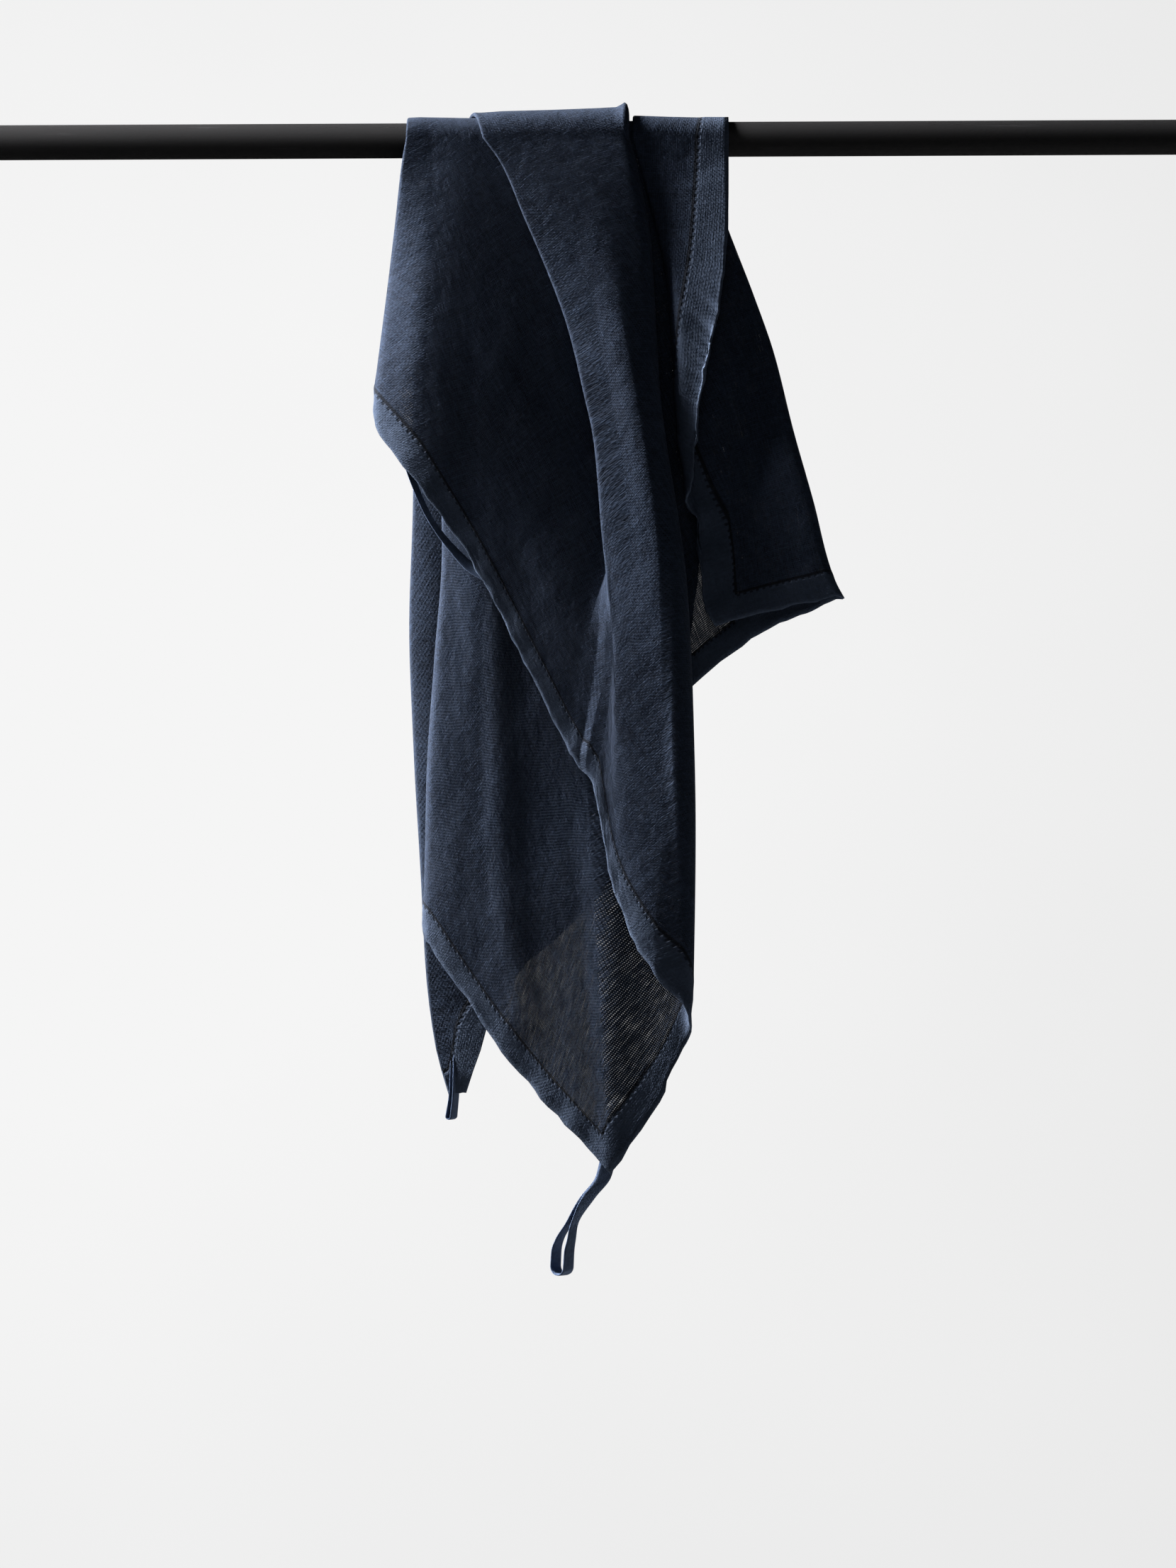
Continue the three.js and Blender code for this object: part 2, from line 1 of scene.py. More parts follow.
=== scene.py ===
"""Dresses the linen tea towel that hangs over a round black rod.

Lengths in the tables are in millimetres and every mesh is made in metres. X runs along the rod
from its left end, Y goes away from the viewer and Z is up. The rod's axis is Y = 0, Z = 0.
"""

import logging
import math
from dataclasses import dataclass, field
from enum import Enum
from typing import Any, Sequence

import bpy
import numpy as np
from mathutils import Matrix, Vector, noise

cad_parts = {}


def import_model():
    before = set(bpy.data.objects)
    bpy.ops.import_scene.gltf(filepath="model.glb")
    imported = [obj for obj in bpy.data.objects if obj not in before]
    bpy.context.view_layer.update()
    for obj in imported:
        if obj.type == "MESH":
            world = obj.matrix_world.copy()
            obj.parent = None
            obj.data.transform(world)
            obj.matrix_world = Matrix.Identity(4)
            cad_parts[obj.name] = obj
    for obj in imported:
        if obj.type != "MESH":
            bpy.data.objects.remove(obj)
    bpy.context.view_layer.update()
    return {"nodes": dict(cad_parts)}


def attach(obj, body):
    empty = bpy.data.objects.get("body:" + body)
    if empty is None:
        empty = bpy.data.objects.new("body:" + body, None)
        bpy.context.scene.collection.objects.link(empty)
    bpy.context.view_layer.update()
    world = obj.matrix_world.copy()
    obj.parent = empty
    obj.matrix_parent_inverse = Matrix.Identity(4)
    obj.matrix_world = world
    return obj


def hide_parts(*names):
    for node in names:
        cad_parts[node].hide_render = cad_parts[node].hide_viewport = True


LOG = logging.getLogger("tea_towel")
MM = 0.001

Row = Sequence[float]
Points = np.ndarray


# Small helpers


def linear(colour: str) -> tuple[float, float, float, float]:
    """Turns an sRGB hex colour into linear RGBA.

    Args:
        colour: Six hex digits with a leading hash sign.

    Returns:
        The linear colour with an alpha of 1.
    """
    parts = [int(colour[i : i + 2], 16) / 255 for i in (1, 3, 5)]
    values = [p / 12.92 if p <= 0.04045 else ((p + 0.055) / 1.055) ** 2.4 for p in parts]
    return (values[0], values[1], values[2], 1.0)


def smoothstep(low: float, high: float, value: np.ndarray | float) -> Any:
    """Rises smoothly from 0 at low to 1 at high."""
    share = np.clip((np.asarray(value, dtype=float) - low) / (high - low), 0.0, 1.0)
    return share * share * (3 - 2 * share)


def curve(q: float, a: Any, slope_a: Any, b: Any, slope_b: Any) -> Any:
    """Runs from a to b with the given slopes at both ends, as q goes from 0 to 1."""
    near, far = 2 * q**3 - 3 * q**2 + 1, 3 * q**2 - 2 * q**3
    return near * a + (q**3 - 2 * q**2 + q) * slope_a + far * b + (q**3 - q**2) * slope_b


def smooth(keys: Row, values: Row, at: float) -> float:
    """Reads a smooth curve through a table's rows that never overshoots them.

    Args:
        keys: Rising positions of the rows.
        values: The value in each row.
        at: The position to read.

    Returns:
        The value of the curve there.
    """
    last = len(keys) - 1
    if at <= keys[0]:
        return values[0]
    if at >= keys[last]:
        return values[last]
    rise = [(values[i + 1] - values[i]) / (keys[i + 1] - keys[i]) for i in range(last)]
    slopes = [rise[0]]
    for i in range(1, last):
        if rise[i - 1] * rise[i] <= 0:
            slopes.append(0.0)
            continue
        before, after = keys[i] - keys[i - 1], keys[i + 1] - keys[i]
        heavy, light = 2 * after + before, after + 2 * before
        slopes.append((heavy + light) / (heavy / rise[i - 1] + light / rise[i]))
    slopes.append(rise[last - 1])
    i = 0
    while at > keys[i + 1]:
        i += 1
    span = keys[i + 1] - keys[i]
    return curve((at - keys[i]) / span, values[i], span * slopes[i], values[i + 1], span * slopes[i + 1])


def mesh_object(
    name: str, points: Points, faces: list[tuple[int, ...]], uv: Points | None = None
) -> bpy.types.Object:
    """Makes a smooth-shaded mesh object from points in metres.

    Args:
        name: The object's name.
        points: One row of x, y and z per vertex.
        faces: Vertex indexes of each face.
        uv: One row of flat positions in metres per vertex, if the piece has them.

    Returns:
        The new object, linked to the scene.
    """
    mesh = bpy.data.meshes.new(name)
    mesh.from_pydata([tuple(p) for p in points.tolist()], [], faces)
    mesh.update()
    mesh.polygons.foreach_set("use_smooth", [True] * len(mesh.polygons))
    if uv is not None:
        layer = mesh.uv_layers.new(name="flat")
        corners = np.empty(len(mesh.loops), dtype=np.int64)
        mesh.loops.foreach_get("vertex_index", corners)
        layer.data.foreach_set("uv", uv[corners].astype(np.float32).ravel())
    made = bpy.data.objects.new(name, mesh)
    bpy.context.scene.collection.objects.link(made)
    return made


def thick_sheet(
    name: str, middle: Points, thickness: Points, uv: Points, closed: bool = False
) -> bpy.types.Object:
    """Makes a closed sheet of cloth around a middle surface.

    Args:
        name: The object's name.
        middle: Rows by columns by 3, in millimetres.
        thickness: Rows by columns, in millimetres.
        uv: Rows by columns by 2, flat positions in metres.
        closed: Whether the last row joins the first one.

    Returns:
        The new object.
    """
    tall, wide = middle.shape[:2]
    diagonal = middle[1:, 1:] - middle[:-1, :-1]
    other = middle[1:, :-1] - middle[:-1, 1:]
    quads = -np.cross(other, diagonal)
    normals = np.zeros_like(middle)
    for rows in (slice(None, -1), slice(1, None)):
        for columns in (slice(None, -1), slice(1, None)):
            normals[rows, columns] += quads
    if closed:
        shared = normals[0] + normals[-1]
        normals[0] = normals[-1] = shared
    normals /= np.linalg.norm(normals, axis=2, keepdims=True) + 1e-12
    shift = normals * thickness[..., None] * 0.5
    if closed:
        tall -= 1
    faces_in_mm = [(middle + shift)[:tall].reshape(-1, 3), (middle - shift)[:tall].reshape(-1, 3)]
    points = np.concatenate(faces_in_mm) * MM
    flat = np.concatenate([uv[:tall].reshape(-1, 2)] * 2)
    back = tall * wide

    def at(i: int, j: int) -> int:
        """Gives the vertex of a row and a column."""
        return (i % tall) * wide + j

    faces: list[tuple[int, ...]] = []
    row_count = tall if closed else tall - 1
    for i in range(row_count):
        for j in range(wide - 1):
            a, b, c, d = at(i, j), at(i, j + 1), at(i + 1, j + 1), at(i + 1, j)
            faces.append((a, b, c, d))
            faces.append((back + a, back + d, back + c, back + b))
        for j, flip in ((0, False), (wide - 1, True)):
            a, d = at(i, j), at(i + 1, j)
            rim = (a, d, back + d, back + a)
            faces.append(rim[::-1] if flip else rim)
    if not closed:
        for i, flip in ((0, True), (tall - 1, False)):
            for j in range(wide - 1):
                a, b = at(i, j), at(i, j + 1)
                rim = (a, b, back + b, back + a)
                faces.append(rim[::-1] if flip else rim)
    return mesh_object(name, points, faces, flat)


class Shader:
    """Node tree of one material, filled by named nodes."""

    def __init__(self, name: str) -> None:
        """Starts an empty material.

        Args:
            name: The material's name.
        """
        self.material = bpy.data.materials.new(name)
        self.material.use_nodes = True
        self.tree = self.material.node_tree
        self.tree.nodes.clear()

    def add(
        self,
        kind: str,
        *values: Any,
        out: int | str = 0,
        settings: dict[str, Any] | None = None,
        **inputs: Any,
    ) -> Any:
        """Adds a node with its settings, values and links.

        Args:
            kind: Blender's type name of the node, without the ShaderNode prefix. An operation may
                follow it after a colon.
            values: What goes into the sockets from the first one on, with None to skip one. A
                value is set, and an output socket is linked.
            out: The number or the name of the output to give back.
            settings: Other properties of the node.
            inputs: The same as values, by socket name with spaces as underscores, or as i0, i1 and
                so on for numbered sockets.

        Returns:
            The output asked for, or None if the node has no outputs.
        """
        kind, _, operation = kind.partition(":")
        node = self.tree.nodes.new("ShaderNode" + kind)
        if operation:
            node.operation = operation
        for key, value in (settings or {}).items():
            setattr(node, key, value)
        wanted: list[tuple[int | str, Any]] = [(i, v) for i, v in enumerate(values) if v is not None]
        for key, value in inputs.items():
            numbered = key[0] == "i" and key[1:].isdigit()
            wanted.append((int(key[1:]) if numbered else key.replace("_", " "), value))
        for place, value in wanted:
            socket = node.inputs[place]
            if isinstance(value, bpy.types.NodeSocket):
                self.tree.links.new(value, socket)
            else:
                socket.default_value = value
        return node.outputs[out] if len(node.outputs) else None


FUZZ = "#8fa3c4"  # the pale blue of the linen's fine hairs against the light
FUZZ_ROUGHNESS = 0.45

# The towel's shape


class Side(Enum):
    """The two sides on which the towel hangs."""

    FRONT = "front"
    REAR = "rear"


class Turn(Enum):
    """Which way the turn of a fold points."""

    LEFT = -1
    NONE = 0
    RIGHT = 1


@dataclass(frozen=True)
class Line:
    """One line of the cloth from its rear edge over the rod to its front edge.

    Shape rows hold: mm below the rod's axis, mm from the rod's left end, mm from the rod's axis
    plane before and after the line, and how far the fold has opened. Flat rows hold: mm below the
    rod's axis, then the place on the uncut flat towel along its long and its short side.
    """

    name: str
    turn: Turn
    steps: int
    front: tuple[Row, ...]
    rear: tuple[Row, ...]
    flat_front: tuple[Row, ...]
    flat_rear: tuple[Row, ...]
    corner: bool = False
    round_off: float = 0.0


@dataclass(frozen=True)
class Cloth:
    """Sizes of the flat towel and of the way it lies on the rod, in mm.

    The lines' tables place the layers a pitch apart. The real layers settle closer on the rod, at
    the distances in settled.
    """

    length: float = 700.0
    width: float = 500.0
    thickness: float = 0.5
    hem_width: float = 12.0
    hem_extra: float = 0.5
    rod_radius: float = 8.0
    first_gap: float = 1.0
    pitch: float = 1.5
    settled: tuple[float, ...] = (8.38, 9.0, 9.62, 10.3, 11.5, 13.3)
    settled_depth: float = 120.0

    def layer(self, number: int) -> float:
        """Gives how far a layer's middle lies from the rod's axis in the tables."""
        return self.rod_radius + self.first_gap + (number - 1) * self.pitch

    def settle(self, out: Points, down: Points) -> Points:
        """Moves layers from their distance in the tables to the one at which they settle.

        Args:
            out: Distances from the rod's axis plane in the tables, in mm.
            down: How far below the rod's axis each one is, in mm.

        Returns:
            The settled distances in mm.
        """
        known = [self.layer(n + 1) for n in range(len(self.settled))]
        near = np.clip(out, known[0], known[-1])
        drop = np.interp(near, known, self.settled) - near
        return out + drop * (1 - smoothstep(0, self.settled_depth, down))


@dataclass(frozen=True)
class Hang:
    """How the plumb cloth lies to the rod, which rises a little to the right."""

    rise: float = 0.0047
    square_at: float = 296.0

    def plumb(self, x: float, down: float) -> float:
        """Gives the true x in mm of a point that the tables place at x, so far below the rod."""
        return x + self.rise * (self.square_at - down)


HANG = Hang()
CLOTH = Cloth()
INNER_FOLD = 12  # the place of inner_left_fold among the lines
L1, L2, L3, L4, L5, L6 = (CLOTH.layer(number) for number in range(1, 7))

LINES: tuple[Line, ...] = (
    Line(
        "edge_by_first_corner", Turn.NONE, 5,
        ((0, 309, L3, L3), (30, 286, 12.9, 12.9), (63, 260, 13.8, 13.8)),
        ((0, 309, L3, L3), (75, 318, 15, 15), (150, 330, 18, 18)),
        ((0, 543, 0), (63, 470, 0)),
        ((0, 543, 0), (150, 700, 0)),
    ),
    Line(
        "left_outline_fold", Turn.LEFT, 3,
        (
            (0, 217, L3, L4), (9, 215.4, 12.2, 14.2), (41, 211.8, 12.9, 17.2), (77, 207.5, 13.8, 20.5),
            (106, 203.9, 15.2, 23), (117, 202.6, 15.9, 23.6), (131, 202.8, 17, 24),
        ),
        ((0, 218, L3, L4), (100, 221, 15.5, 19), (205, 226, 19, 24)),
        ((0, 500, 98), (131, 388, 0)),
        ((0, 500, 98), (205, 700, 150)),
        round_off=3.4,
    ),
    Line(
        "crest_of_left_panel", Turn.NONE, 4,
        (
            (0, 228, L4, L4), (20, 229, 16.2, 16.2), (50, 229, 20.6, 20.6), (110, 226, 26.6, 26.6),
            (162, 224.8, 28.3, 28.3),
        ),
        ((0, 226, L4, L4), (100, 228, 19.6, 19.6), (211, 233, 25, 25)),
        ((0, 496, 104), (162, 351, 0)),
        ((0, 496, 104), (211, 700, 158)),
    ),
    Line(
        "middle_of_left_panel", Turn.NONE, 8,
        (
            (0, 238, L4, L4), (20, 241, 16.4, 16.4), (60, 246, 20.8, 20.8), (130, 249, 25.8, 25.8),
            (198, 249.6, 27, 27),
        ),
        ((0, 236, L4, L4), (100, 237, 19.5, 19.5), (216, 242, 25, 25)),
        ((0, 490, 114), (130, 376.6, 51), (198, 310, 0)),
        ((0, 490, 114), (216, 700, 170)),
    ),
    Line(
        "pleat_under_fold", Turn.RIGHT, 2,
        (
            (0, 261, L4, L5, 0), (12, 270, 13.9, 15.6, 0), (37, 281, 14.9, 16.8, 0),
            (88, 301, 15.4, 18, 0), (138, 311.5, 17, 21.2, 0), (179, 313.5, 20, 23.6, 0),
            (196, 309.6, 22.2, 24.8, 0.4), (214, 305, 25.4, 27, 0.75), (235, 301, 27.6, 28.4, 1),
            (285, 294, 28.4, 29, 1),
        ),
        (
            (0, 252, L4, L5, 0), (13, 250.5, 14.6, 16.6, 0), (24, 248.6, 15.4, 17, 0.6),
            (39, 246, 16.6, 17.6, 1), (85, 242, 19.6, 19.8, 1), (222, 250, 26, 26.4, 1),
        ),
        ((0, 476, 135), (138, 333, 103), (214, 265, 62), (285, 206, 0)),
        ((0, 476, 135), (222, 700, 190)),
    ),
    Line(
        "pleat_edge_fold", Turn.LEFT, 5,
        (
            (0, 252, L5, L6, 0), (12, 260.4, 15.9, 17.6, 0), (37, 271, 17.3, 19.6, 0),
            (63, 282, 17.6, 20.8, 0), (88, 291, 18.4, 22.2, 0), (117, 298, 20.2, 24.6, 0),
            (138, 302.5, 21.8, 26.4, 0), (184, 306.6, 24.6, 28.2, 0), (201, 308.4, 26.8, 29.2, 0.4),
            (219, 309.6, 29, 30.5, 0.75), (240, 309.5, 30.2, 31.3, 1), (293, 300, 30.6, 31.6, 1),
        ),
        (
            (0, 242, L5, L6, 0), (13, 244.5, 16.9, 19.2, 0), (24, 249.4, 19.4, 21, 0.6),
            (39, 253, 18.8, 19.8, 1), (85, 258, 20.4, 20.8, 1), (226, 262, 26.8, 27.2, 1),
        ),
        ((0, 471, 143), (138, 328, 111), (219, 259, 70), (293, 197, 0)),
        ((0, 471, 143), (226, 700, 200)),
    ),
    Line(
        "left_of_right_panel", Turn.NONE, 4,
        (
            (0, 270, L6, L6), (20, 278, 19.6, 19.6), (88, 304, 25, 25), (200, 319, 31.8, 31.8),
            (300, 314.6, 34.2, 34.2), (349, 313.6, 35, 35),
        ),
        ((0, 262, L6, L6), (120, 270, 24, 24), (238, 280, 28, 28)),
        ((0, 462, 157), (105, 357.7, 125.8), (200, 268.3, 88.5), (349, 143, 0)),
        ((0, 462, 157), (238, 700, 218)),
    ),
    Line(
        "crest_of_right_panel", Turn.NONE, 4,
        (
            (0, 294, L6, L6), (20, 302, 20.5, 20.5), (88, 316, 27.2, 27.2), (200, 332, 35, 35),
            (300, 334, 37.6, 37.6), (381, 329, 39.6, 39.6),
        ),
        ((0, 290, L6, L6), (120, 298, 25.5, 25.5), (252, 308, 29, 29)),
        ((0, 452, 180), (200, 262, 100), (381, 102, 0)),
        ((0, 452, 180), (252, 700, 247)),
    ),
    Line(
        "right_panel_fold", Turn.RIGHT, 2,
        (
            (0, 318.8, L6, L2), (21, 323.8, 20.4, 11), (47, 328.4, 22.6, 11.5), (70, 330, 24.2, 12.1),
            (96, 331.4, 25.8, 13), (122, 333.2, 27.6, 14.2), (143, 335.8, 29.2, 15.4),
            (171, 340.3, 31, 17), (203, 344.6, 34, 18.4), (260, 347.5, 37.2, 21), (315, 348.6, 39.2, 24),
            (405, 347.3, 38.8, 30.4),
        ),
        ((0, 318.6, L6, L2), (60, 326, 21, 11.4), (150, 341, 24.5, 12.8), (268, 343, 29, 14.4)),
        ((0, 442, 200), (203, 256.7, 112.7), (405, 75, 0)),
        ((0, 442, 200), (268, 700, 290)),
    ),
    Line(
        "bow_of_lower_edge", Turn.NONE, 2,
        (
            (0, 303, L2, L2), (90, 313, 12.3, 12.3), (200, 322, 16.6, 16.6), (320, 327, 23, 23),
            (440, 332, 32.6, 32.6),
        ),
        ((0, 303, L2, L2), (150, 318, 12.6, 12.6), (296, 315, 14.2, 14.2)),
        ((0, 420, 223), (203, 232, 133), (440, 37.5, 0)),
        ((0, 420, 223), (296, 700, 330)),
    ),
    Line(
        "line_to_first_corner", Turn.NONE, 6,
        (
            (0, 288, L2, L2), (90, 290, 12, 12), (200, 294, 15.4, 15.4), (320, 301, 22, 22),
            (472, 310, 35, 35),
        ),
        ((0, 288, L2, L2), (160, 290, 12.4, 12.4), (322, 286, 14, 14)),
        ((0, 398, 246), (472, 0, 0)),
        ((0, 398, 246), (322, 700, 370)),
        corner=True,
    ),
    Line(
        "crest_of_second_panel", Turn.NONE, 6,
        (
            (0, 250, L2, L2), (60, 254, 11.7, 11.7), (140, 256, 14.2, 14.2), (200, 252, 15.7, 15.7),
            (300, 252, 19.2, 19.2), (427, 269, 27, 27),
        ),
        ((0, 250, L2, L2), (200, 252, 12.8, 12.8), (380, 250, 14.2, 14.2)),
        ((0, 309, 323), (200, 151, 215), (300, 77.6, 153), (427, 0, 70)),
        ((0, 309, 323), (380, 700, 430)),
    ),
    Line(
        "inner_left_fold", Turn.LEFT, 8,
        (
            (0, 218, L2, L1), (60, 225, 11.4, 9.2), (130, 231.6, 13, 9.5), (188, 233.4, 14.6, 10),
            (240, 229.8, 16.2, 10.6), (293, 226.4, 17.6, 11.2), (330, 225.6, 18.4, 12),
            (364, 224.7, 19.4, 13),
        ),
        (
            (0, 218, L2, L1), (158, 219.4, 12, 9.3), (223, 217.6, 12.6, 9.6), (276, 219.4, 13, 10),
            (340, 223, 13.4, 10.4), (382, 225.2, 13.6, 10.8), (417, 229.8, 13.8, 11.2),
            (437, 235.2, 14, 11.6),
        ),
        ((0, 282, 358), (364, 0, 140)),
        ((0, 282, 358), (437, 700, 488)),
        round_off=3.0,
    ),
    Line(
        "middle_of_inner_panel", Turn.NONE, 8,
        ((0, 290, L1, L1), (120, 330, 9.8, 9.8), (233, 370, 11.6, 11.6)),
        (
            (0, 285, L1, L1), (200, 262, 9.6, 9.6), (330, 248, 10.2, 10.2), (410, 236, 11, 11),
            (438, 237.6, 11.5, 11.5),
        ),
        ((0, 249, 403), (233, 0, 387)),
        ((0, 249, 403), (438, 700, 491)),
    ),
    Line(
        "right_outline_fold", Turn.RIGHT, 6,
        (
            (0, 349, L1, L2, 0), (41, 363.4, 9.6, 13, 0), (73, 375.6, 10.2, 14.8, 0),
            (99, 384.6, 10.8, 16, 0), (135, 393.6, 11.4, 17.6, 0), (167, 402.6, 12, 19, 0),
            (201, 411.6, 12.6, 19.8, 0), (211, 417, 12.8, 20, 0),
        ),
        (
            (0, 346, L1, L2, 0), (25, 342, 9.2, 10.8, 0), (48, 337, 9.3, 10.8, 0.6),
            (75, 331, 9.4, 10, 1), (110, 322, 9.4, 9.7, 1), (220, 300, 9.7, 9.7, 1),
            (340, 274, 10.3, 10.3, 1), (410, 239.5, 11, 11, 1), (438, 238.9, 11.5, 11.5, 1),
        ),
        ((0, 229, 430), (211, 0, 439)),
        ((0, 229, 430), (438, 700, 493)),
    ),
    Line(
        "line_to_last_corner", Turn.NONE, 3,
        (
            (0, 336, L2, L2), (60, 350, 12.4, 12.4), (120, 361, 14.8, 14.8), (175, 364, 17.4, 17.4),
            (224, 357.6, 20, 20),
        ),
        (
            (0, 337, L2, L2), (25, 338, 11.5, 11.5), (48, 340, 12.2, 12.2), (75, 339.5, 10.8, 10.8),
            (110, 337, 9.9, 9.9), (220, 315, 9.7, 9.7), (340, 285, 10.2, 10.2), (410, 243, 11, 11),
            (438, 240, 11.5, 11.5),
        ),
        ((0, 231, 443), (224, 0, 500)),
        ((0, 231, 443), (438, 700, 495)),
        corner=True,
    ),
    Line(
        "hem_panel_fold", Turn.LEFT, 8,
        (
            (0, 320.4, L2, L3, 0), (31, 328.4, 11.6, 15.4, 0), (67, 336.2, 12.8, 19.6, 0),
            (98, 338.6, 13.8, 22.2, 0), (133, 340.6, 15.4, 23.4, 0), (151, 343, 16.2, 23.4, 0),
            (167, 345.4, 17, 23.2, 0),
        ),
        (
            (0, 321.4, L2, L3, 0), (25, 334, 12.2, 13.9, 0), (48, 343, 13.6, 15.2, 0.6),
            (75, 348, 11.6, 12.2, 1), (110, 350, 10, 10.4, 1), (220, 330, 9.8, 9.8, 1),
            (340, 296, 10.2, 10.2, 1), (410, 247, 11, 11, 1), (438, 241.2, 11.5, 11.5, 1),
        ),
        ((0, 234, 458), (167, 62, 500)),
        ((0, 234, 458), (438, 700, 497)),
    ),
    Line(
        "edge_by_last_corner", Turn.NONE, 0,
        (
            (0, 364.4, L3, L3), (20, 364.2, 16.8, 16.8), (37, 364, 19.6, 19.6), (81, 359.4, 25, 25),
            (109, 351.6, 27, 27),
        ),
        (
            (0, 364.6, L3, L3), (25, 364.8, 13.4, 13.4), (48, 364.4, 14.2, 14.2), (75, 362.2, 12.2, 12.2),
            (110, 359.4, 10.6, 10.6), (225, 346.8, 9.9, 9.9), (343, 308, 10.2, 10.2),
            (386, 266, 10.7, 10.7), (411, 252.4, 11, 11), (438, 243.4, 11.5, 11.5),
        ),
        ((0, 238, 500), (109, 127, 500)),
        ((0, 238, 500), (438, 700, 500)),
    ),
)


@dataclass(frozen=True)
class Ridge:
    """A soft ridge that stands up towards the viewer, along a straight way on the flat towel.

    Heights and widths are those at its start and its end, in mm.
    """

    start: tuple[float, float]
    end: tuple[float, float]
    heights: tuple[float, float]
    widths: tuple[float, float]
    fade: float

    def rise(self, u: float, v: float) -> float:
        """Gives how far the ridge lifts the cloth.

        Args:
            u: The flat place along the towel's long side, in mm.
            v: The flat place along its short side, in mm.

        Returns:
            The lift in mm.
        """
        way = (self.end[0] - self.start[0], self.end[1] - self.start[1])
        length = math.hypot(*way)
        across = (u - self.start[0], v - self.start[1])
        along = (across[0] * way[0] + across[1] * way[1]) / length
        beside = (across[0] * way[1] - across[1] * way[0]) / length
        height = float(np.interp(along, (0, length), self.heights))
        width = float(np.interp(along, (0, length), self.widths))
        ends = smoothstep(-4, 8, along) * (1 - smoothstep(length - self.fade, length, along))
        return float(height * math.exp(-((beside / width) ** 2)) * ends)


# From the first corner up, and down the middle of the second panel.
RIDGES = (
    Ridge((0, 0), (150, 86), (1.3, 3.0), (3.0, 10.0), 50.0),
    Ridge((14, 74), (165, 221), (2.0, 3.2), (14.0, 22.0), 60.0),
)


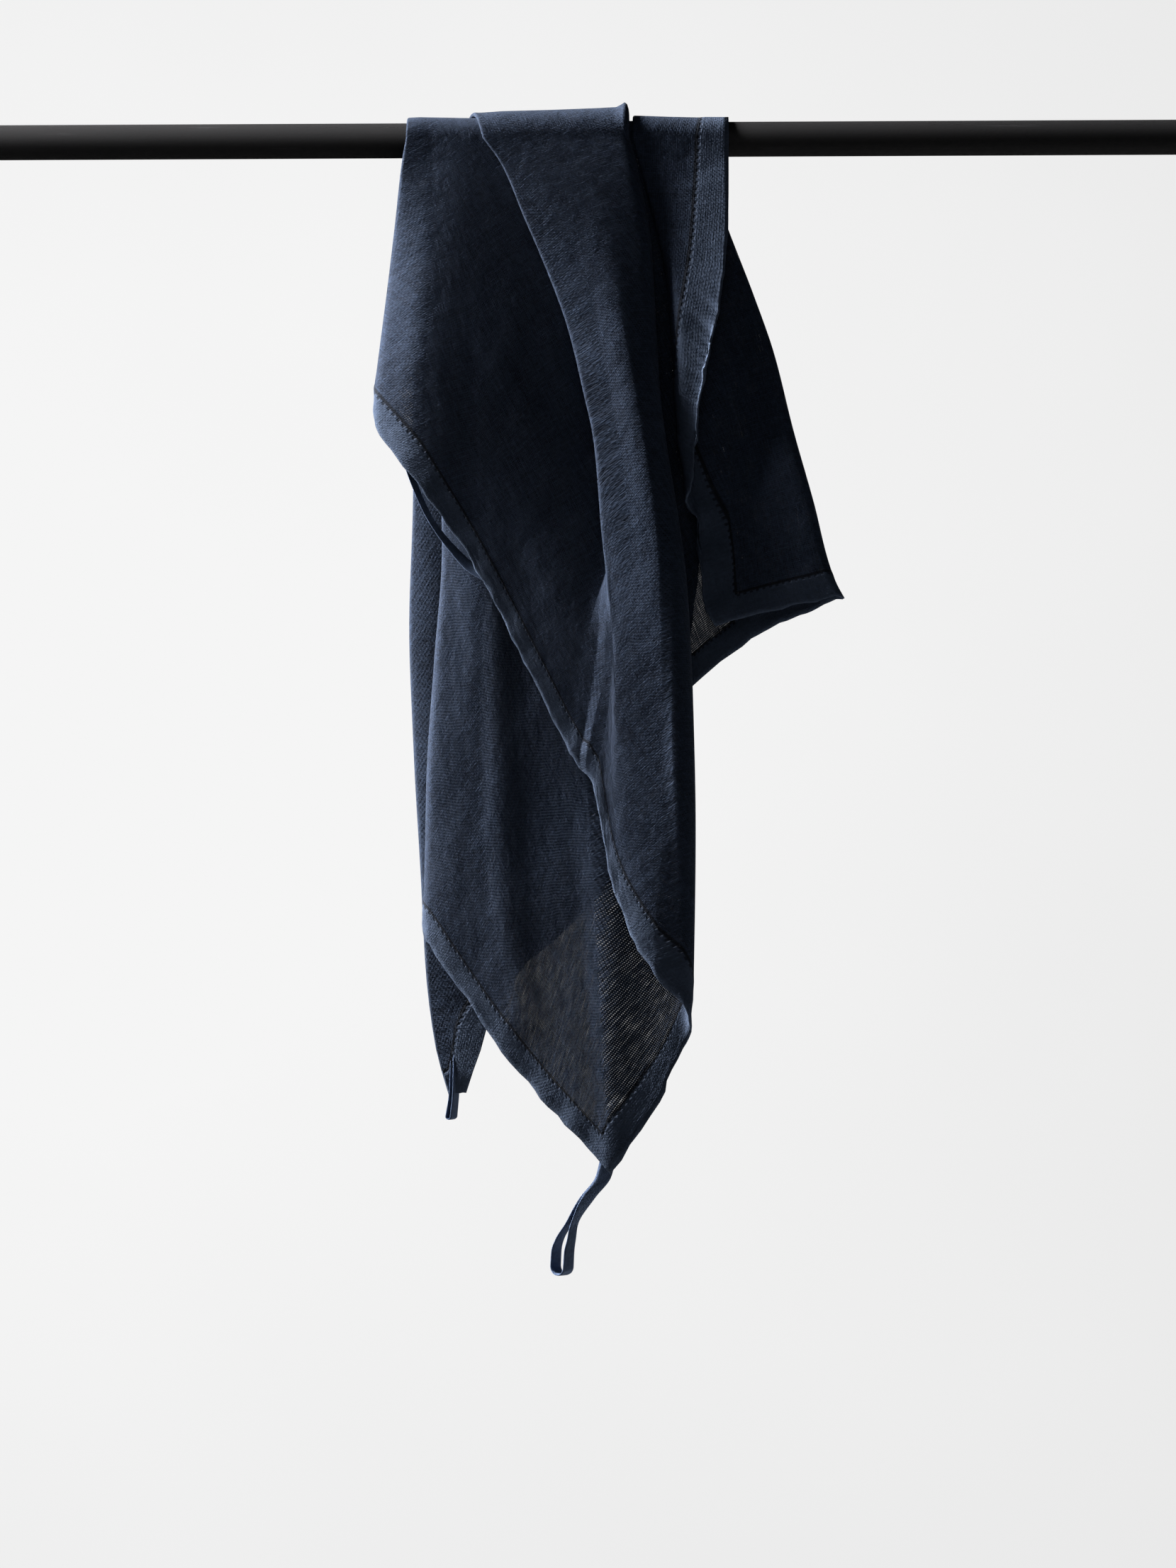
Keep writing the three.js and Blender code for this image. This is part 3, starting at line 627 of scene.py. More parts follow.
@dataclass
class TowelDrape:
    """The towel's middle surface, worked out from its lines.

    A point has five numbers: x, distance out from the rod's axis plane and depth below the axis,
    in mm, then the place on the flat towel, in mm.
    """

    cloth: Cloth = CLOTH
    lines: tuple[Line, ...] = LINES
    fold_steps: int = 8
    open_spread: float = 0.3
    steepest: float = 1.5
    most_lean: float = 0.6
    least_run: float = 3.0
    heading_share: float = 0.2  # share of the lines over which the cloth's way down is measured
    quarter_power: float = 1.5  # how soon the cloth's turn over the rod is taken up below it
    # mm from the rod's left end, then how much higher than settled the outermost layer lies
    lift_rows: tuple[Row, ...] = (
        (216, -0.5), (224, 0.6), (244, -0.6), (252, -0.9), (262, -0.2), (285, 0.3), (306, 1.0), (316, 1.5),
        (319, 5.0), (324, 4.6), (338, 2.4), (352, 0.8), (364, 0.4),
    )
    round_width: float = 17.0  # mm beside a fold over which the front's panels round off
    round_most: float = 1.3  # the fold's own cloth lies further out, up to this many widths
    round_depths: tuple[float, float] = (15.0, 70.0)  # mm below the rod over which it begins
    rows_rear: int = 58
    rows_over: int = 24
    rows_front: int = 116
    closer_rear: float = 1.35  # powers by which the rows lie closer together near the rod
    closer_front: float = 1.15
    column_share: float = 1.9
    rear_roll: float = 5.0  # how far the rear layers' left sides curl away from the viewer
    rear_roll_width: float = 18.0
    corner_roll_width: float = 12.0  # and how much more of them near the low corner
    rear_roll_power: float = 1.7

    def line_at(self, line: Line, side: Side, share: float) -> list[float]:
        """Reads one line at a share of its length.

        Args:
            line: The line.
            side: The side of the rod.
            share: How far down the line, from 0 to 1.

        Returns:
            The x, before, after, open, down, flat u and flat v there.
        """
        shape = line.front if side is Side.FRONT else line.rear
        flat = line.flat_front if side is Side.FRONT else line.flat_rear
        keys = [row[0] for row in shape]
        down = share * keys[-1]
        filled = [tuple(row) + (0.0,) * (5 - len(row)) for row in shape]
        values = [smooth(keys, [row[c] for row in filled], down) for c in (1, 2, 3, 4)]
        values[0] = HANG.plumb(values[0], down)
        flat_keys = [row[0] for row in flat]
        flat_down = share * flat_keys[-1]
        return values + [down] + [smooth(flat_keys, [row[c] for row in flat], flat_down) for c in (1, 2)]

    def line_points(
        self, turn: Turn, at: list[float], room: float, fall: float, leans: tuple[float, float]
    ) -> list[list[float]]:
        """Gives the points of one line in a section: a single one, or an arc for a fold.

        Args:
            turn: Which way the fold turns.
            at: The line's numbers in this section.
            room: The distance to the nearer neighbouring line.
            fall: How much deeper the section gets for each mm across the fold.
            leans: Angles at which the panels before and after the fold lean away from it.

        Returns:
            The points, each with x, out and down.
        """
        x, before, after, opened, down = at[:5]
        if turn is Turn.NONE:
            return [[x, before, down]]
        middle, half = (before + after) / 2, (after - before) / 2
        start, end = leans[0] - math.pi / 2, math.pi / 2 - leans[1]
        points = []
        for i in range(self.fold_steps + 1):
            angle = start + (end - start) * i / self.fold_steps
            curl = turn.value * abs(half) * (1 - math.cos(angle)) * (1 - opened)
            spread = opened * self.open_spread * room * math.sin(angle)
            across = abs(half) * angle * (1 - opened) + spread
            points.append([x - curl + spread, middle + half * math.sin(angle), down + fall * across])
        return points

    def panel_points(
        self,
        before: Points | None,
        a: Points,
        b: Points,
        after: Points | None,
        steps: int,
        corners: tuple[bool, bool],
    ) -> list[Points]:
        """Gives the points between two lines, on a curve that heads for its neighbours in one panel.

        Args:
            before: The point before the first one, where the cloth runs on smoothly.
            a: The first point.
            b: The last point.
            after: The point after the last one, where the cloth runs on smoothly.
            steps: Into how many parts the panel is split.
            corners: Whether the first and the last line end in a corner of the towel.

        Returns:
            The points between the two.
        """
        length = float(np.linalg.norm(b - a))
        slope_a, slope_b = b - a, b - a
        if before is not None:
            slope_a = (b - before) * length / (float(np.linalg.norm(a - before)) + length)
        if after is not None:
            slope_b = (after - a) * length / (float(np.linalg.norm(after - b)) + length)
        # The lower edge has a sharp corner there, so only its depth below the rod isn't smoothed.
        slope_a[2] = (b - a)[2] if corners[0] else slope_a[2]
        slope_b[2] = (b - a)[2] if corners[1] else slope_b[2]
        return [curve(i / steps, a, slope_a, b, slope_b) for i in range(1, steps)]

    def lean(self, rise: float, run: float, half: float) -> float:
        """Gives the angle by which a panel rises away from a fold, within what the turn can take."""
        angle = math.atan2(rise, max(run - half, self.least_run))
        return min(max(angle, -self.most_lean), self.most_lean)

    def section(self, side: Side, share: float) -> Points:
        """Works out one row across the cloth.

        Args:
            side: The side of the rod.
            share: How far down the lines the row is, from 0 to 1.

        Returns:
            One row per point, with x, out, down, flat u and flat v.
        """
        found = [self.line_at(line, side, share) for line in self.lines]
        last = len(found) - 1
        middles = [np.array([at[0], (at[1] + at[2]) / 2]) for at in found]
        groups = []
        for i, line in enumerate(self.lines):
            room = fall = 0.0
            leans = (0.0, 0.0)
            if line.turn is not Turn.NONE:
                x, arrive, leave = found[i][:3]
                room = min(abs(x - found[i - 1][0]), abs(found[i + 1][0] - x))
                run = np.linalg.norm(middles[i] - middles[i - 1])
                run += np.linalg.norm(middles[i + 1] - middles[i])
                fall = (found[i + 1][4] - found[i - 1][4]) / run
                fall = float(np.clip(fall, -self.steepest, self.steepest))
                sign, half = math.copysign(1, leave - arrive), abs(leave - arrive) / 2
                leans = (
                    self.lean(sign * (arrive - found[i - 1][2]), abs(x - found[i - 1][0]), half),
                    self.lean(sign * (found[i + 1][1] - leave), abs(found[i + 1][0] - x), half),
                )
            groups.append([np.array(p) for p in self.line_points(line.turn, found[i], room, fall, leans)])
        points: list[Points] = []
        anchors = []
        owners: list[float] = []
        for i, group in enumerate(groups):
            anchors.append(len(points) + len(group) // 2)
            points += group
            owners += [i] * len(group)
            if i == last:
                continue
            before = groups[i - 1][-1] if self.lines[i].turn is Turn.NONE and i > 0 else None
            after = groups[i + 2][0] if self.lines[i + 1].turn is Turn.NONE and i + 1 < last else None
            steps = round(self.lines[i].steps * self.column_share) + 1
            corners = (self.lines[i].corner, self.lines[i + 1].corner)
            points += self.panel_points(before, group[-1], groups[i + 1][0], after, steps, corners)
            owners += [i + 0.5] * (steps - 1)
        shape = np.array(points)
        for i, line in enumerate(self.lines):
            if side is Side.FRONT and line.round_off:
                near = (found[i][0] + self.round_width - shape[:, 0]) / self.round_width
                near = np.clip(near, 0, self.round_most) ** 2
                mine = np.abs(np.array(owners) - i) < 2
                shape[:, 1] -= line.round_off * near * mine * smoothstep(*self.round_depths, shape[:, 2])
        # The flat place runs evenly along the section between the lines.
        travelled = np.concatenate([[0.0], np.cumsum(np.linalg.norm(np.diff(shape, axis=0), axis=1))])
        flats = [np.interp(travelled, travelled[anchors], [at[c] for at in found]) for c in (5, 6)]
        return np.column_stack([shape, *flats])

    def heading(self, side: Side) -> Points:
        """Gives, for each column, the flat direction in which the cloth runs down from the rod."""
        change = (self.section(side, self.heading_share) - self.section(side, 0.0))[:, 3:]
        return change / (np.linalg.norm(change, axis=1, keepdims=True) + 1e-9)

    def hanging(self, side: Side, share: float, heading: Points) -> tuple[Points, Points]:
        """Works out one row below the rod.

        Args:
            side: The side of the rod.
            share: How far down the lines the row is, from 0 to 1.
            heading: The flat direction in which each column runs down.

        Returns:
            The points in mm, and their flat places in mm.
        """
        points = self.section(side, share)
        out = self.cloth.settle(points[:, 1], points[:, 2])
        if side is Side.REAR:
            rows = self.lines[INNER_FOLD].rear
            left = np.interp(points[:, 2], [row[0] for row in rows], [row[1] for row in rows])
            width = self.rear_roll_width + self.corner_roll_width * smoothstep(300, 400, points[:, 2])
            curl = np.clip((left + width - points[:, 0]) / width, 0.0, 1.0) ** self.rear_roll_power
            out = out + self.rear_roll * curl * smoothstep(90, 170, points[:, 2])
        quarter = (math.pi / 2 * out * (1 - share) ** self.quarter_power)[:, None]
        sign = -1 if side is Side.FRONT else 1
        return np.column_stack([points[:, 0], sign * out, -points[:, 2]]), points[:, 3:] + heading * quarter

    def lift(self, x: Points, out: Points) -> Points:
        """Gives how much higher than settled the layers lie on the rod, most for the outer ones.

        Args:
            x: Places along the rod in mm.
            out: Settled distances from the rod's axis in mm.

        Returns:
            The extra heights in mm.
        """
        height = np.interp(x, *zip(*self.lift_rows))
        inner, outer = self.cloth.settled[0], self.cloth.settled[-1]
        return height * np.clip((out - inner) / (outer - inner), 0, 1)

    def surface(self) -> tuple[Points, Points]:
        """Works out the whole towel, from the rear's lower edge over the rod to the front's.

        Returns:
            The middle surface in mm, and the place of each point on the flat towel in mm.
        """
        rows = []
        to_rear, to_front = self.heading(Side.REAR), self.heading(Side.FRONT)
        for i in range(self.rows_rear, 0, -1):
            rows.append(self.hanging(Side.REAR, (i / self.rows_rear) ** self.closer_rear, to_rear))
        rear, front = self.section(Side.REAR, 0.0), self.section(Side.FRONT, 0.0)
        for i in range(self.rows_over + 1):
            angle = math.pi * i / self.rows_over
            points = rear + (front - rear) * (i / self.rows_over)
            out = self.cloth.settle(points[:, 1], points[:, 1] * 0)
            out = out + self.lift(points[:, 0], out) * math.sin(angle)
            place = np.column_stack([points[:, 0], out * math.cos(angle), out * math.sin(angle)])
            from_top = angle - math.pi / 2
            heading = to_front if from_top > 0 else to_rear
            rows.append((place, points[:, 3:] + heading * (abs(from_top) * out)[:, None]))
        for i in range(1, self.rows_front + 1):
            rows.append(self.hanging(Side.FRONT, (i / self.rows_front) ** self.closer_front, to_front))
        return np.array([row[0] for row in rows]), np.array([row[1] for row in rows])


@dataclass
class Towel:
    """The linen towel with its turned hems, which washing has left wavy."""

    drape: TowelDrape = field(default_factory=TowelDrape)
    wave_length: float = 12.0
    wave_reach: float = 15.0
    wave_height: tuple[float, float, float] = (1.5, 1.5, 1.2)  # along x, y and z
    # Broad and fine humps: height, then length along the towel and across it
    broad: tuple[float, float, float] = (0.75, 46.0, 30.0)
    fine: tuple[float, float, float] = (0.28, 15.0, 13.0)
    smooth_until: float = 15.0  # mm below the rod's axis where they begin
    uneven_from: float = 110.0  # and where they have reached their height

    def edge_distance(self, flat: Points) -> Points:
        """Measures how far points are from the nearest edge of the flat towel.

        Args:
            flat: Flat places in mm.

        Returns:
            The distances in mm.
        """
        cloth = self.drape.cloth
        u, v = flat[..., 0], flat[..., 1]
        return np.minimum(np.minimum(u, cloth.length - u), np.minimum(v, cloth.width - v))

    def crumple(self, middle: Points, flat: Points) -> Points:
        """Adds the unevenness that washing leaves, with waves in the hems.

        It fades out towards the rod, where layers lie close.

        Args:
            middle: The middle surface in mm.
            flat: The flat place of each point in mm.

        Returns:
            The uneven middle surface.
        """
        cloth = self.drape.cloth
        edge = self.edge_distance(flat)
        moved = middle.copy()
        for i in range(middle.shape[0]):
            for j in range(middle.shape[1]):
                down = -middle[i, j, 2]
                if down < self.smooth_until:
                    continue
                fade = float(smoothstep(self.smooth_until, self.uneven_from, down))
                u, v = flat[i, j]
                for (height, long, wide), seed in ((self.broad, 1.7), (self.fine, 6.1)):
                    moved[i, j, 1] += fade * height * noise.noise(Vector((u / long, v / wide, seed)))
                moved[i, j, 1] -= sum(ridge.rise(u, v) for ridge in RIDGES)
                near = float(1 - smoothstep(3, self.wave_reach, edge[i, j]))
                if near > 0:
                    along, side = (u, v) if min(v, cloth.width - v) < min(u, cloth.length - u) else (v, u)
                    side = 0.0 if side < 250 else 1.0
                    for axis, seed in enumerate((2.3, 9.1, 15.7)):
                        at = along / self.wave_length
                        wave = noise.noise(Vector((at, side, seed)))
                        wave += 0.45 * noise.noise(Vector((at * 2.7, side, seed + 30)))
                        moved[i, j, axis] += near * fade * self.wave_height[axis] * wave
        return moved

    def build(self) -> bpy.types.Object:
        """Makes the towel's mesh.

        Returns:
            The towel, one closed sheet with thicker hems.
        """
        cloth = self.drape.cloth
        middle, flat = self.drape.surface()
        middle = self.crumple(middle, flat)
        edge = self.edge_distance(flat)
        inside = smoothstep(cloth.hem_width - 0.6, cloth.hem_width + 0.6, edge)
        thickness = cloth.thickness + cloth.hem_extra * (1 - inside)
        piece = thick_sheet("towel_cloth", middle, thickness, flat * MM)
        LOG.info("towel_cloth: %d rows of %d points", middle.shape[0], middle.shape[1])
        return piece

    def dress(self, piece: bpy.types.Object) -> None:
        """Gives the towel its linen and fixes it to the rod's body.

        Args:
            piece: The towel's object.
        """
        piece.data.materials.append(WashedLinen().material())
        # The light grazes the cloth, and these two keep its facets out of the shading.
        piece.shadow_terminator_shading_offset = 0.3
        piece.shadow_terminator_geometry_offset = 0.5
        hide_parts("towel")
        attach(piece, "root")


@dataclass(frozen=True)
class WashedLinen:
    """Garment-washed navy linen in an open plain weave.

    It gives the eye uneven single threads, a dry matt face with a pale fuzz towards the light, and
    tiny openings that let a bright wall shine through a single layer.
    """

    name: str = "garment_washed_navy_linen"
    thread_mm: float = 0.85  # spacing of single threads
    deep: str = "#171e2b"
    pale: str = "#2d394d"
    # pale colour of wash wear, also painted as light over the hem and as a highlight on its rim
    worn_and_lit: str = "#4c586c"
    hem_mm: float = 12.0
    slub_mm: tuple[float, float] = (1.0, 4.0)  # width and length of a slub, wider than the real 0.7
    stitch_mm: float = 3.2
    seam_inset_mm: float = 1.0  # from the hem's folded edge to its stitches
    # dark painted into the stitches' dimples, as their shade
    stitch_shade: str = "#0b0f18"
    crevice: str = "#080b12"
    hem_painted_light: float = 0.27  # share of the pale colour painted over the hem, as light where less shade shows through
    rim_wear_and_highlight: float = 0.25  # and along its outer rim, as wear and a painted highlight of the lit edge
    long_side: float = 0.7
    short_side: float = 0.5
    opaque: float = 0.5  # how much of the light an opening still stops
    streak_mm: tuple[float, float] = (8.0, 1.1)  # length and width of a loosely woven streak
    # How much the tone differs by thread, by patch of cloth and by slub, and what is taken off it
    by_thread: float = 0.95
    by_patch: float = 0.35
    by_slub: float = 1.5
    tone_from: float = 0.32
    slub_from: float = 0.57  # how thick a place has to be to count as a slub
    roughness: float = 0.92
    gloss: float = 0.18
    fuzz: float = 0.12

    def material(self) -> bpy.types.Material:
        """Builds the linen's nodes.

        Returns:
            The material.
        """
        s = Shader(self.name)
        floating = {"data_type": "FLOAT"}
        colours = {"data_type": "RGBA"}
        clamped = {"data_type": "RGBA", "clamp_factor": True}
        soft = {"interpolation_type": "SMOOTHSTEP"}
        plane = {"noise_dimensions": "2D"}
        flat = s.add("UVMap", settings={"uv_map": "flat"})
        u, v = s.add("SeparateXYZ", flat, out=0), s.add("SeparateXYZ", flat, out=1)

        # Threads wander a little, so the weave isn't a ruled grid.
        drift = s.add("TexNoise", settings=plane, Vector=flat, Scale=55.0, Detail=2.0)
        drift = s.add("Math:MULTIPLY", s.add("Math:SUBTRACT", drift, 0.5), 1.6)
        threads, cells, rises = [], [], []
        for place in (u, v):
            thread = s.add("Math:ADD", s.add("Math:MULTIPLY", place, 1000 / self.thread_mm), drift)
            threads.append(thread)
            cells.append(s.add("Math:FLOOR", thread))
            rises.append(s.add("Math:ABSOLUTE", s.add("Math:SINE", s.add("Math:MULTIPLY", thread, math.pi))))
        warp, weft = rises
        parity = s.add("Math:FLOORED_MODULO", s.add("Math:ADD", *cells), 2.0)
        top = s.add("Mix", parity, None, warp, weft, settings=floating)

        # Each thread has its own shade, uneven along the thread.
        one_thread = []
        for across, along, seed in ((cells[0], v, 3.1), (cells[1], u, 8.7)):
            across, along = s.add("Math:MULTIPLY", across, 0.731), s.add("Math:MULTIPLY", along, 26.0)
            place = s.add("CombineXYZ", across, along, seed)
            one_thread.append(s.add("TexNoise", Vector=place, Scale=1.0, Detail=2.5, Roughness=0.6))
        shade = s.add("Mix", parity, None, *one_thread, settings=floating)

        # Slubs are thick places several mm long, on threads of both directions.
        slubs = []
        for wide, long in (self.slub_mm, self.slub_mm[::-1]):
            along, across = s.add("Math:MULTIPLY", u, 1000 / long), s.add("Math:MULTIPLY", v, 1000 / wide)
            place = s.add("CombineXYZ", along, across)
            slub = s.add("TexNoise", settings=plane, Vector=place, Scale=1.0, Detail=2.0, Roughness=0.7)
            slubs.append(slub)
        slub = s.add("Math:SUBTRACT", s.add("Math:MAXIMUM", *slubs), self.slub_from)
        patch = s.add("TexNoise", settings=plane, Vector=flat, Scale=16.0, Detail=3.0)
        shares = ((shade, self.by_thread), (patch, self.by_patch), (slub, self.by_slub))
        parts = [s.add("Math:MULTIPLY", part, share) for part, share in shares]
        light = s.add("Math:ADD", s.add("Math:ADD", parts[0], parts[1]), parts[2])
        # Painted shade: the thread crowns are lighter and the gaps between them darker.
        between = s.add("Math:ADD", s.add("Math:MULTIPLY", top, 0.3), 0.75)
        light = s.add("Math:MULTIPLY", s.add("Math:SUBTRACT", light, self.tone_from), between)
        tone = s.add("Mix", light, settings=clamped, i6=linear(self.deep), i7=linear(self.pale), out=2)

        # The distance to the nearest edge gives the hem, its stitches and the rim, paler from wear and a
        # painted highlight.
        edge_u = s.add("Math:MINIMUM", u, s.add("Math:SUBTRACT", self.long_side, u))
        edge_v = s.add("Math:MINIMUM", v, s.add("Math:SUBTRACT", self.short_side, v))
        edge = s.add("Math:MULTIPLY", s.add("Math:MINIMUM", edge_u, edge_v), 1000.0)
        # Painted light: the hem is two layers more, so less of the dark inside shows through it, and it is
        # painted paler.
        band = s.add("MapRange", edge, self.hem_mm - 0.8, self.hem_mm, self.hem_painted_light, 0.0, settings=soft)
        rim = s.add("MapRange", edge, 0.0, 1.2, self.rim_wear_and_highlight, 0.0, settings=soft)
        # The pale colour goes over the hem as painted light, and along the rim as wear and a painted
        # highlight.
        for worn_and_lit in (band, rim):
            tone = s.add("Mix", worn_and_lit, settings=colours, i6=tone, i7=linear(self.worn_and_lit), out=2)
        near_long = s.add("Math:LESS_THAN", edge_v, edge_u)
        along = s.add("Mix", near_long, None, v, u, settings=floating)
        beat = s.add("Math:SINE", s.add("Math:MULTIPLY", along, 2000 * math.pi / self.stitch_mm))
        from_seam = s.add("Math:ABSOLUTE", s.add("Math:SUBTRACT", edge, self.hem_mm - self.seam_inset_mm))
        seam = s.add("MapRange", from_seam, 0.2, 0.75, 1.0, 0.0, settings=soft)
        dimple = s.add("Math:MULTIPLY", seam, s.add("MapRange", beat, -0.2, 0.5, 0.0, 1.0))
        # Painted shade: the stitches' dimples are darkened.
        stitch_shade_share = s.add("Math:MULTIPLY", dimple, 0.75)
        tone = s.add("Mix", stitch_shade_share, settings=colours, i6=tone, i7=linear(self.stitch_shade), out=2)
        # The hem's folded edge throws a fine shadow line beside the stitches.
        from_step = s.add("Math:ABSOLUTE", s.add("Math:SUBTRACT", edge, self.hem_mm))
        step = s.add("MapRange", from_step, 0.35, 0.9, 0.85, 0.0, settings=soft)
        tone = s.add("Mix", step, settings=colours, i6=tone, i7=linear(self.crevice), out=2)

        # Openings of the weave are wider where both threads are thin, and lie in loose streaks.
        gap = s.add("Math:MULTIPLY", s.add("Math:SUBTRACT", 1.0, warp), s.add("Math:SUBTRACT", 1.0, weft))
        long, wide = self.streak_mm
        along, across = s.add("Math:MULTIPLY", u, 1000 / long), s.add("Math:MULTIPLY", v, 1000 / wide)
        loose = s.add("CombineXYZ", along, across)
        loose = s.add("TexNoise", settings=plane, Vector=loose, Scale=1.0, Detail=2.0)
        loose = s.add("Math:MULTIPLY", s.add("Math:SUBTRACT", loose, 0.5), 0.95)
        thin = s.add("Math:ADD", s.add("Math:MULTIPLY", *one_thread), loose)
        closed = s.add("Math:ADD", 0.2, s.add("Math:MULTIPLY", thin, 1.1))
        opening = s.add("Math:GREATER_THAN", gap, closed)
        opening = s.add("Math:MULTIPLY", opening, s.add("Math:GREATER_THAN", edge, self.hem_mm))
        solid = s.add("Mix", opening, None, 1.0, self.opaque, settings=floating)

        height = s.add("Math:ADD", s.add("Math:MULTIPLY", top, 0.4), s.add("Math:MULTIPLY", shade, 1.4))
        height = s.add("Math:ADD", height, s.add("Math:MULTIPLY", slub, 1.8))
        height = s.add("Math:SUBTRACT", height, s.add("Math:MULTIPLY", dimple, 2.5))
        bump = s.add("Bump", Strength=0.5, Distance=0.0003, Height=height)
        pucker = s.add("TexNoise", settings=plane, Vector=flat, Scale=120.0, Detail=2.0)
        bump = s.add("Bump", Strength=0.35, Distance=0.0012, Height=pucker, Normal=bump)
        cloth = s.add(
            "BsdfPrincipled", Base_Color=tone, Roughness=self.roughness, Normal=bump, Alpha=solid,
            Specular_IOR_Level=self.gloss,
            Sheen_Weight=self.fuzz, Sheen_Roughness=FUZZ_ROUGHNESS, Sheen_Tint=linear(FUZZ),
        )
        s.add("OutputMaterial", Surface=cloth)
        return s.material


# Tapes


@dataclass(frozen=True)
class LinenTape:
    """Folded linen tape, closely woven, a little smoother and lighter than the towel."""

    name: str = "folded_navy_linen_tape"
    thread_mm: float = 0.8
    deep: str = "#222c3e"
    pale: str = "#3d4b64"
    rib_height: float = 0.22
    roughness: float = 0.9
    gloss: float = 0.2
    fuzz: float = 0.3

    def material(self) -> bpy.types.Material:
        """Builds the tape's nodes: a fine rib with uneven threads.

        Returns:
            The material.
        """
        s = Shader(self.name)
        flat = s.add("UVMap", settings={"uv_map": "flat"})
        along, across = s.add("SeparateXYZ", flat, out=0), s.add("SeparateXYZ", flat, out=1)
        beat = 2000 * math.pi / self.thread_mm
        rib = s.add("Math:SINE", s.add("Math:MULTIPLY", across, beat))
        pick = s.add("Math:SINE", s.add("Math:MULTIPLY", along, beat))
        weave = s.add("Math:MULTIPLY", rib, pick)
        slub = s.add("TexNoise", settings={"noise_dimensions": "2D"}, Vector=flat, Scale=600.0, Detail=3.0)
        mixed = s.add("Math:MULTIPLY_ADD", weave, self.rib_height, slub)
        colours = {"data_type": "RGBA", "clamp_factor": True}
        tone = s.add("Mix", mixed, settings=colours, i6=linear(self.deep), i7=linear(self.pale), out=2)
        bump = s.add("Bump", Strength=0.6, Distance=0.0003, Height=mixed)
        cloth = s.add(
            "BsdfPrincipled", Base_Color=tone, Roughness=self.roughness, Normal=bump,
            Specular_IOR_Level=self.gloss,
            Sheen_Weight=self.fuzz, Sheen_Roughness=FUZZ_ROUGHNESS, Sheen_Tint=linear(FUZZ),
        )
        s.add("OutputMaterial", Surface=cloth)
        return s.material


@dataclass
class CornerLoop:
    """A hanging loop of tape sewn to one corner.

    Rows hold: mm below the rod's axis, x, mm in front of the axis plane, degrees by which the tape
    has turned from facing the viewer, and mm between the middles of its two legs.
    """

    name: str
    node: str
    rows: tuple[Row, ...]
    tape_width: float = 7.0
    tape_thickness: float = 0.8
    leg_steps: int = 40
    end_steps: int = 14
    across_steps: int = 8

    def frame_at(self, down: float) -> tuple[Points, Points, Points, float]:
        """Works out where the loop is and how it's turned.

        Args:
            down: The depth below the rod's axis in mm.

        Returns:
            The middle in mm, the directions across the tape and out of its face, and half the
            distance between the legs in mm.
        """
        keys = [row[0] for row in self.rows]
        x, out, turned, apart = (smooth(keys, [row[c] for row in self.rows], down) for c in (1, 2, 3, 4))
        angle = math.radians(turned)
        across = np.array([math.cos(angle), math.sin(angle), 0.0])
        face = np.array([-math.sin(angle), math.cos(angle), 0.0])
        return np.array([HANG.plumb(x, down), -out, -down]), across, face, apart / 2

    def build(self) -> bpy.types.Object:
        """Sweeps the tape down one leg, round the end and up the other.

        Returns:
            The loop.
        """
        top, bottom = self.rows[0][0], self.rows[-1][0]
        stations: list[tuple[Points, Points]] = []
        for i in range(self.leg_steps + 1):
            middle, across, face, half = self.frame_at(top + (bottom - top) * i / self.leg_steps)
            stations.append((middle + face * half, across))
        middle, across, face, half = self.frame_at(bottom)
        for i in range(1, self.end_steps):
            angle = math.pi * i / self.end_steps
            below = np.array([0, 0, half * math.sin(angle)])
            stations.append((middle + face * half * math.cos(angle) - below, across))
        for i in range(self.leg_steps + 1):
            middle, across, face, half = self.frame_at(bottom + (top - bottom) * i / self.leg_steps)
            stations.append((middle - face * half, across))
        return swept_tape(self.name, stations, self.tape_width, self.tape_thickness, self.across_steps)

    def dress(self, piece: bpy.types.Object, finish: bpy.types.Material) -> None:
        """Gives the loop its tape finish and fixes it to the body.

        Args:
            piece: The loop's object.
            finish: The tape's material.
        """
        piece.data.materials.append(finish)
        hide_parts(self.node)
        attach(piece, "root")


def swept_tape(
    name: str, stations: list[tuple[Points, Points]], width: float, thickness: float, across_steps: int
) -> bpy.types.Object:
    """Makes a tape through stations of a point and a width direction.

    Args:
        name: The object's name.
        stations: The tape's middle and its width direction, in mm.
        width: The tape's width in mm.
        thickness: Its thickness in mm, less at its two folded sides.
        across_steps: Quads across the tape.

    Returns:
        The new object.
    """
    along = [0.0]
    for (a, _), (b, _) in zip(stations, stations[1:]):
        along.append(along[-1] + float(np.linalg.norm(b - a)))
    rim = 0.35  # share of the thickness that is left at the sides
    shares = np.linspace(-0.5, 0.5, across_steps + 1)
    middle = np.array([[point + across * width * share for share in shares] for point, across in stations])
    profile = thickness * (rim + (1 - rim) * np.sqrt(np.clip(1 - (2 * shares) ** 4, 0, 1)))
    thick = np.tile(profile, (len(stations), 1))
    uv = np.array([[(distance, share * width) for share in shares] for distance in along]) * MM
    return thick_sheet(name, middle, thick, uv)


